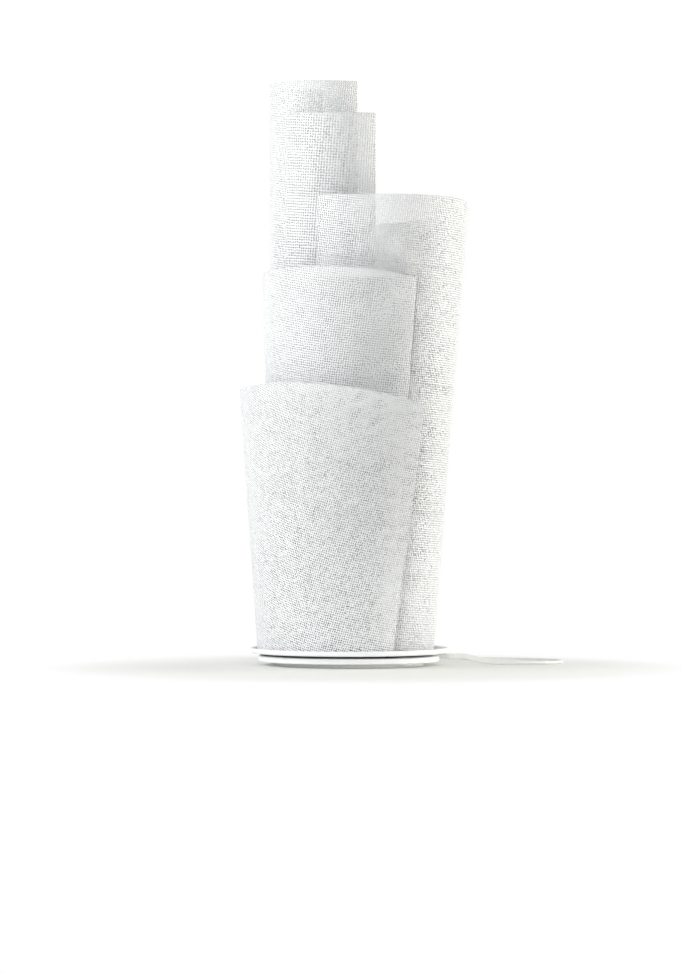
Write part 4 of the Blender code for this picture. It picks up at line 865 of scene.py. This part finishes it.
def rounded_ring(x, width, height, corner, line, steps=5):
    """A ring across the X axis: a rectangle with round corners round the place (y, z) of a line."""
    ring = []
    for quarter, (side, up) in enumerate(((1, 1), (-1, 1), (-1, -1), (1, -1))):
        for i in range(steps + 1):
            turn = (quarter + i / steps) * math.pi / 2
            ring.append((x, line[0] + side * (width / 2 - corner) + corner * math.cos(turn),
                         line[1] + up * (height / 2 - corner) + corner * math.sin(turn)))
    return ring


def ribbed_boot(start, end, near, far, line, pitch):
    """The rings of a tapered boot along X with grooves across it."""
    pitches = abs(end - start) / pitch
    rings = []
    for share in np.linspace(0, 1, round(pitches * 8) + 1):
        width, height = (between(a, b, share) for a, b in zip(near, far))
        groove = wave(BOOT_GROOVE, 3 * min(share, 1 - share) * pitches, 2 * math.pi * share * pitches)
        rings.append(rounded_ring(between(start, end, share), width - groove, height - groove,
                                  min(width, height) * 0.4, line))
    return rings if end > start else rings[::-1]


def plug_rings(face):
    """The rings of the plug's body, wider and higher towards its face, with grooves for the fingers."""
    stations = [(x, 0.0) for x in np.arange(PLUG_START, face - PLUG_FLAT, PLUG_SPACING)]
    stations += [(face - back, inset) for back, inset in PLUG_ROUNDING]
    rings = []
    for x, inset in stations:
        share = (x - PLUG_START) / PLUG_LENGTH
        fade = PLUG_FADE * min(share - PLUG_GROOVES[0], PLUG_GROOVES[1] - share)
        groove = wave(PLUG_GROOVE, fade, 2 * math.pi * x / PLUG_GROOVE_PITCH)
        width, height = (min(size * float(eased(shares, share)) - inset, size) - groove
                         for size, shares in ((PLUG_WIDTH, PLUG_WIDTHS), (PLUG_HEIGHT, PLUG_HEIGHTS)))
        rings.append(rounded_ring(x, width, height, PLUG_CORNER, PLUG_LINE))
    return rings


def smooth_way(points, spacing):
    """Evenly spaced points on one smooth curve through the given points."""
    way = np.array(points, float)
    ends = [2 * way[0] - way[1], *way, 2 * way[-1] - way[-2]]
    shares = np.linspace(0, 1, 24, endpoint=False)
    dense = [bowed(*four, t) for four in zip(ends, ends[1:], ends[2:], ends[3:]) for t in shares]
    dense = np.array([*dense, way[-1]])
    lengths = np.concatenate([[0], np.cumsum(np.linalg.norm(np.diff(dense, axis=0), axis=1))])
    at = np.linspace(0, lengths[-1], max(2, round(lengths[-1] / spacing)) + 1)
    return np.stack([np.interp(at, lengths, dense[:, axis]) for axis in range(3)], axis=1)


def coil_way():
    """The coil's points: in along the lower layer, up in half a turn, and out on the upper one."""
    count = round(COIL_TURNS * COIL_POINTS)
    points = []
    for i in range(count + 1):
        turns = COIL_TURNS * i / count
        radius = COIL_OUTER - COIL_PITCH * min(turns, COIL_TURNS - turns)
        climb = min(max((turns - COIL_TURNS / 2) / 0.5 + 0.5, 0.0), 1.0)
        turn = -math.pi / 2 - 2 * math.pi * turns
        points.append((COIL_CENTRE[0] + radius * math.cos(turn), COIL_CENTRE[1] + radius * math.sin(turn),
                       COIL_LEVEL + COIL_LAYER * climb * climb * (3 - 2 * climb)))
    return points


def halfway(start, end):
    """A place halfway between two others, but nearer to the second one's height."""
    middle = (start + end) / 2
    middle[2] = between(start[2], end[2], 0.7)
    return middle


def cord_way():
    """The whole cord's points, and how far it has turned from its edge on to its flat at each."""
    coil = coil_way()
    lead, half, plug = np.array(LEAD), np.array(SWITCH_HALF), np.array(PLUG_BACK)
    switch_in, switch_out = SWITCH + half, SWITCH - half
    link_end, tail_start = coil[0] + lead, coil[-1] + lead
    stretches = (
        (smooth_way(RUN, 2.0), ((0.0, 0.0), (0.06, 0.0), (0.26, 1.0), (1.0, 1.0))),
        (smooth_way([switch_in, SWITCH, switch_out], 4.0), ((0.0, 1.0), (1.0, 1.0))),
        (smooth_way([switch_out, switch_out - lead, halfway(switch_out, link_end), link_end + lead, link_end],
                    1.5), ((0.0, 1.0), (0.15, 1.0), (0.9, 0.0), (1.0, 0.0))),
        (smooth_way([link_end, *coil, tail_start], 2.5), ((0.0, 0.0), (1.0, 0.0))),
        (smooth_way([tail_start, tail_start + lead, halfway(tail_start, plug), plug - lead, plug], 1.5),
         ((0.0, 0.0), (0.1, 0.0), (0.85, 1.0), (1.0, 1.0))),
    )
    way, flat = [], []
    for points, stations in stretches:
        twist = np.interp(np.linspace(0, 1, len(points)), *zip(*stations))
        twist = twist * twist * (3 - 2 * twist)
        skip = 1 if way else 0
        way.extend(points[skip:])
        flat.extend(twist[skip:])
    return np.array(way), np.array(flat)


def twin_profile(width, thickness, groove=0.78):
    """The section of a twin flex: two round lobes with a shallow groove between them on each side."""
    lobe, offset = thickness / 2, (width - thickness) / 2
    outline = []
    for side, first in ((1, -100), (-1, 80)):
        outline += [(side * offset + lobe * math.cos(turn), lobe * math.sin(turn))
                    for turn in np.linspace(first, first + 200, 7) * DEG]
        outline.append((0.0, side * lobe * groove))
    return outline


def swept(way, flat, profile):
    """The rings of a profile along a line of points, standing on edge where flat is 0."""
    rings = []
    for point, tangent, lying in zip(way, np.gradient(way, axis=0), flat):
        ahead = Vector(tangent).normalized()
        side = Vector((0.0, 0.0, 1.0)).cross(ahead).normalized()
        up = ahead.cross(side)
        turn = lying * math.pi / 2
        wide = up * math.cos(turn) + side * math.sin(turn)
        thin = side * math.cos(turn) - up * math.sin(turn)
        rings.append([Vector(point) + wide * u + thin * v for u, v in profile])
    return rings


class LAMP_OT_sheets(bpy.types.Operator):
    """Punches and bends the five sheets, with their foot tabs"""

    bl_idname = "lamp.sheets"
    bl_label = "Perforated sheets"

    def execute(self, context):
        settings = context.scene.lamp_sheets
        # The inside coat carries painted shade where the sheets face each other closely
        back = powder_coat("sheet_back_coat", settings.back, 0.35 * MM, 0.49, painted_shade_inside)
        edges = powder_coat("punched_edge", settings.cut, 0.35 * MM, 0.44)
        for seed, (name, facts) in enumerate(SHEETS.items()):
            bent = BentSheet(facts)
            # Painted shade on the outside of a sheet that has another one round it
            dust_and_shade = painted_shade_under(*SHEET_COVERED[name]) if name in SHEET_COVERED else None
            coat = powder_coat(f"{name}_coat", settings.coat, 0.35 * MM, 0.4, dust_and_shade, mottle=4.0)
            bands = perforated_bands(name, bent, settings, seed)
            for number, mesh in enumerate(bands, start=1):
                piece = add_piece(f"{name}_band_{number}", mesh, (coat, back, edges), (name,))
                wall = piece.modifiers.new("wall", "SOLIDIFY")
                wall.thickness = settings.thickness
                wall.offset = 0.0
                wall.material_offset = 1
                wall.material_offset_rim = 2
            bm = bmesh.new()
            for share in bent.tabs:
                foot = bent.points(np.array(share), np.array(SHEET_FOOT))
                turn = between(bent.start, bent.end, share)
                foot_tab(bm, settings.thickness, Matrix.Translation(foot) @ Matrix.Rotation(turn, 4, "Z"))
            add_piece(f"{name}_tabs", from_bmesh(bm, f"{name}_tabs", SHARP), (coat,), (name,))
        return {"FINISHED"}


class LAMP_OT_base(bpy.types.Operator):
    """Finishes the tray, the disc, the pad and their fixings"""

    bl_idname = "lamp.base"
    bl_label = "Base"

    def execute(self, context):
        settings = context.scene.lamp_base
        coat = powder_coat("base_coat", settings.coat)
        black = rubber("spacer_rubber", settings.rubber)
        zinc = zinc_plate("fixing_zinc", settings.zinc)
        dress("tray", coat, 0.45 * MM)
        dress("base_disc", coat, 0.45 * MM)
        dress("foot_pad", rubber("pad_rubber", settings.pad, 1.03), 0.6 * MM)
        for number in range(1, 4):
            dress(f"gap_spacer_{number}", black, 0.3 * MM)
            cross_screw(f"base_screw_{number}", BASE_SCREW, zinc, head_up=False)
        for number in range(1, 11):
            cross_screw(f"tab_screw_{number}", TAB_SCREW, zinc)

        stem = turned([(STEM_END, STEM_FOOT), *upright(*STEM_WALL), (STEM_END, STEM_TOP)], 20,
                      thread(*STEM_THREAD))
        stem += turned([(STEM_BORE, STEM_TOP), (STEM_BORE, STEM_FOOT)], 20)
        pieces = [("threaded_stem", stem, "base_white", "stem")]
        for node, bottom in NUTS.items():
            nut = hex_nut(NUT_ACROSS, NUT_HEIGHT, NUT_BORE, bottom)
            pieces.append((f"{node}_chamfered", nut, "screw_steel", node))
        pieces.append(("flat_washer", turned(WASHER, 64), "screw_steel", "stem_washer"))
        for name, rings, slot, node in pieces:
            add_skins(name, [rings], (zinc,), (node,), True, STEM_PLACE)
        return {"FINISHED"}


class LAMP_OT_bulb(bpy.types.Operator):
    """Makes the lampholder and the bulb"""

    bl_idname = "lamp.bulb"
    bl_label = "Lampholder and bulb"

    def execute(self, context):
        settings = context.scene.lamp_bulb
        holder = moulded("holder_moulding", settings.holder)
        dress("holder_core", glazed_core("core_ceramic", settings.core), 0.4 * MM)
        dress("bulb_contact", plain_metal("contact_brass", settings.brass, 0.25, 0.4 * MM))

        for name, node, foot, wall, rim, inside, cut, sides in (
            ("holder_cap_ribbed", "holder_cap", COVER_FOOT, COVER_WALL, COVER_RIM, COVER_INSIDE,
             flutes(*COVER_FLUTES), 216),
            ("holder_shell_threaded", "holder_shell", SKIRT_FOOT, SKIRT_WALL, SKIRT_RIM, SKIRT_INSIDE,
             thread(*SKIRT_THREAD), 96),
        ):
            rings = turned([*foot, *upright(*wall), *rim], sides, cut) + turned(inside, sides)
            add_skins(name, [rings], (holder,), (node,), True, STEM_PLACE)

        cap = turned([*CAP_FOOT, *upright(*CAP_WALL), *CAP_RIM], 64, thread(*CAP_THREAD))
        add_skins("bulb_cap_threaded", [cap], (plain_metal("cap_nickel", settings.nickel, 0.22, 0.3 * MM),),
                  ("bulb_cap",), place=STEM_PLACE)
        shares = np.linspace(0, 1, 18)
        neck = zip(eased(NECK_RADII, shares), between(NECK_LOW, NECK_HIGH, shares))
        ball = ((GLOBE_RADIUS * math.cos(turn), GLOBE_LEVEL + GLOBE_RADIUS * math.sin(turn))
                for turn in np.linspace(GLOBE_FROM, GLOBE_TO, 44) * DEG)
        add_skins("opal_globe", [turned([*neck, *ball], 96)], (opal_glass("globe_opal", settings.opal),),
                  ("bulb_globe",), place=STEM_PLACE)
        return {"FINISHED"}


class LAMP_OT_cord(bpy.types.Operator):
    """Lays the flat cord, with its switch, coil, tie and plug"""

    bl_idname = "lamp.cord"
    bl_label = "Cord"

    def execute(self, context):
        settings = context.scene.lamp_cord
        white = sheath("cord_sheath", settings.sheath)
        moulding = moulded("switch_moulding", settings.moulding)
        brass = plain_metal("pin_brass", context.scene.lamp_bulb.brass, 0.22, 0.4 * MM)
        zinc = zinc_plate("switch_screw_zinc", context.scene.lamp_base.zinc)
        dress("inner_flex", white)
        dress("core_blue", moulded("core_blue_sheath", CORE_BLUE, 0.3))
        dress("core_brown", moulded("core_brown_sheath", CORE_BROWN, 0.3))
        for node in ("switch_lower", "switch_upper", "switch_rocker"):
            dress(node, moulding, 0.35 * MM)
        dress("coil_tie", woven_tie("tie_weave", settings.tie))
        pieces = self.fittings(white, moulding, brass)
        for number in (1, 2):
            pieces.append(cross_screw(f"switch_screw_{number}", SWITCH_SCREW, zinc, head_up=False))
        way, flat = cord_way()
        rings = swept(way, flat, twin_profile(settings.width / MM, settings.thickness / MM))
        cord = add_skins("flat_cord", [rings], (white,),
                         ("cord_run", "cord_link", "cord_coil", "cord_tail"), sharp=50 * DEG)
        pieces += [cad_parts[name] for name in (
            "cord_sleeve", "switch_lower", "switch_upper", "switch_rocker", "switch_screw_1",
            "switch_screw_2", "coil_tie", "plug_body", "plug_pin_1", "plug_pin_2")]
        way = way * MM
        return {"FINISHED"}

    def fittings(self, white, moulding, brass):
        """The strain relief, the boots, the rocker's grips and the plug with its pins."""
        inmost, flange, root, end = SLEEVE_STATIONS
        sleeve = [[rounded_ring(x, *size, SLEEVE_CORNER, SLEEVE_LINE) for x in ends]
                  for size, ends in ((SLEEVE_STUB, (inmost, flange)), (SLEEVE_FLANGE, (flange, root)))]
        sleeve.append(ribbed_boot(root, end, SLEEVE_NEAR, SLEEVE_FAR, SLEEVE_LINE, SLEEVE_PITCH))
        root, end = SWITCH_HALF[0] - BOOT_ROOT, SWITCH_HALF[0] + BOOT_LENGTH
        boots = [ribbed_boot(SWITCH[0] + side * root, SWITCH[0] + side * end, SWITCH_BOOT, BOOT_END,
                             SWITCH[1:], BOOT_PITCH) for side in (1, -1)]
        grips = [turned(GRIP, 12, centre=(at, GRIP_LEVEL - GRIP_HOLLOW * (1 - (at / GRIP_REACH) ** 2)))
                 for at in GRIPS]
        face = PLUG_START + PLUG_LENGTH
        boot = ribbed_boot(PLUG_START + BOOT_ROOT, PLUG_START - BOOT_LENGTH, PLUG_BOOT, BOOT_END, PLUG_LINE,
                           BOOT_PITCH)
        made = [
            add_skins("ribbed_sleeve", sleeve, (white,), ("cord_sleeve",)),
            add_skins("switch_boots", boots, (moulding,)),
            add_skins("rocker_grips", grips, (moulding,), body="rocker",
                      place=ROCKER_PLACE @ Matrix.Rotation(math.pi / 2, 4, "X")),
            add_skins("plug_moulding", [plug_rings(face), boot], (moulding,), ("plug_body",)),
        ]
        ball = [(PIN_RADIUS * math.cos(turn), PIN_BALL + PIN_RADIUS * math.sin(turn))
                for turn in np.linspace(0, 84, 8) * DEG]
        pin = [turned([(1.85, 16.0), (PIN_RADIUS, 16.2), *ball], 32), turned(PIN_SLEEVE, 32)]
        for number, side in ((1, -1), (2, 1)):
            at = Vector((face - PIN_ROOT, PLUG_LINE[0] + side * PIN_OFFSET, PLUG_LINE[1])) * MM
            made.append(add_skins(f"plug_pin_{number}_sleeved", pin, (brass, moulding),
                                  (f"plug_pin_{number}",),
                                  place=Matrix.Translation(at) @ Matrix.Rotation(math.pi / 2, 4, "Y")))
        return made


def area_light(name, place, target, size, power, colour, spread=180 * DEG):
    """A soft rectangular light."""
    data = bpy.data.lights.new(name, "AREA")
    data.shape = "RECTANGLE"
    data.size, data.size_y = size
    data.energy = power
    data.color = colour
    data.spread = spread
    light = bpy.data.objects.new(name, data)
    light.location = place
    light.rotation_euler = (Vector(target) - Vector(place)).to_track_quat("-Z", "Y").to_euler()
    bpy.context.scene.collection.objects.link(light)


class LAMP_OT_stage(bpy.types.Operator):
    """Sets up the floor, the soft light and the camera"""

    bl_idname = "lamp.stage"
    bl_label = "Floor, light and camera"

    def execute(self, context):
        scene = context.scene
        settings = scene.lamp_stage
        mesh = bpy.data.meshes.new("floor")
        corners = [(x * FLOOR_REACH, y * FLOOR_REACH, 0) for x, y in ((-1, -1), (1, -1), (1, 1), (-1, 1))]
        mesh.from_pydata(corners, [], [(0, 1, 2, 3)])
        mesh.materials.append(floor_finish("floor_paint", settings.floor))
        floor = bpy.data.objects.new("floor", mesh)
        scene.collection.objects.link(floor)

        area_light("left_light", (-1.9, -0.5, 0.85), (0.0, 0.0, 0.25), (1.2, 1.0), settings.side_power, COOL)
        area_light("right_light", (1.77, 0.42, 0.42), (0.0, 0.0, 0.25), (1.0, 1.0), settings.side_power, WARM)
        area_light("low_light", (0.85, -0.95, 0.06), (0.03, 0.0, 0.02), (0.5, 0.08), settings.low_power,
                   NEUTRAL, 16 * DEG)
        area_light("front_light", (-0.38, -3.03, 0.9), (0.0, 0.0, 0.3), (0.6, 1.2), settings.front_power,
                   COOL)

        around = Finish("surroundings", bpy.data.worlds)
        scene.world = around.material
        strength = settings.fill + (1.0 - settings.fill) * seen_plainly(around)
        white = around.node("ShaderNodeBackground", None, {"Color": WHITE, "Strength": strength})
        around.node("ShaderNodeOutputWorld", None, {"Surface": white})

        data = bpy.data.cameras.new("camera")
        data.sensor_width = 36.0
        data.lens = settings.lens
        data.clip_end = 200.0
        camera = bpy.data.objects.new("camera", data)
        camera.location = settings.eye
        camera.rotation_euler = (math.pi / 2 - settings.tilt, 0.0, 0.0)
        scene.collection.objects.link(camera)
        scene.camera = camera
        scene.view_settings.view_transform = "Standard"
        return {"FINISHED"}


class LAMP_PT_parts(bpy.types.Panel):
    """The lamp's pieces and settings"""

    bl_idname = "LAMP_PT_parts"
    bl_label = "Perforated lamp"
    bl_space_type = "VIEW_3D"
    bl_region_type = "UI"
    bl_category = "Lamp"

    def draw(self, context):
        for operator, name, _ in STEPS:
            box = self.layout.box()
            box.operator(operator.bl_idname)
            settings = getattr(context.scene, name)
            for setting in settings.bl_rna.properties.keys():
                if setting not in ("rna_type", "name"):
                    box.prop(settings, setting)


# Each operator with its settings, in the order in which they run
STEPS = (
    (LAMP_OT_stage, "lamp_stage", LampStageSettings),
    (LAMP_OT_cord, "lamp_cord", LampCordSettings),
    (LAMP_OT_sheets, "lamp_sheets", LampSheetSettings),
    (LAMP_OT_base, "lamp_base", LampBaseSettings),
    (LAMP_OT_bulb, "lamp_bulb", LampBulbSettings),
)


def register():
    """Adds the settings, the operators and the panel."""
    for operator, name, settings in STEPS:
        bpy.utils.register_class(settings)
        setattr(bpy.types.Scene, name, PointerProperty(type=settings))
        bpy.utils.register_class(operator)
    bpy.utils.register_class(LAMP_PT_parts)


def unregister():
    """Takes them away again."""
    bpy.utils.unregister_class(LAMP_PT_parts)
    for operator, name, settings in reversed(STEPS):
        bpy.utils.unregister_class(operator)
        delattr(bpy.types.Scene, name)
        bpy.utils.unregister_class(settings)


def main():
    """Builds the lamp and its stage."""
    register()
    bpy.ops.lamp.stage()
    bpy.ops.lamp.cord()
    bpy.ops.lamp.sheets()
    bpy.ops.lamp.base()
    bpy.ops.lamp.bulb()


if __name__ == "__main__":
    main()
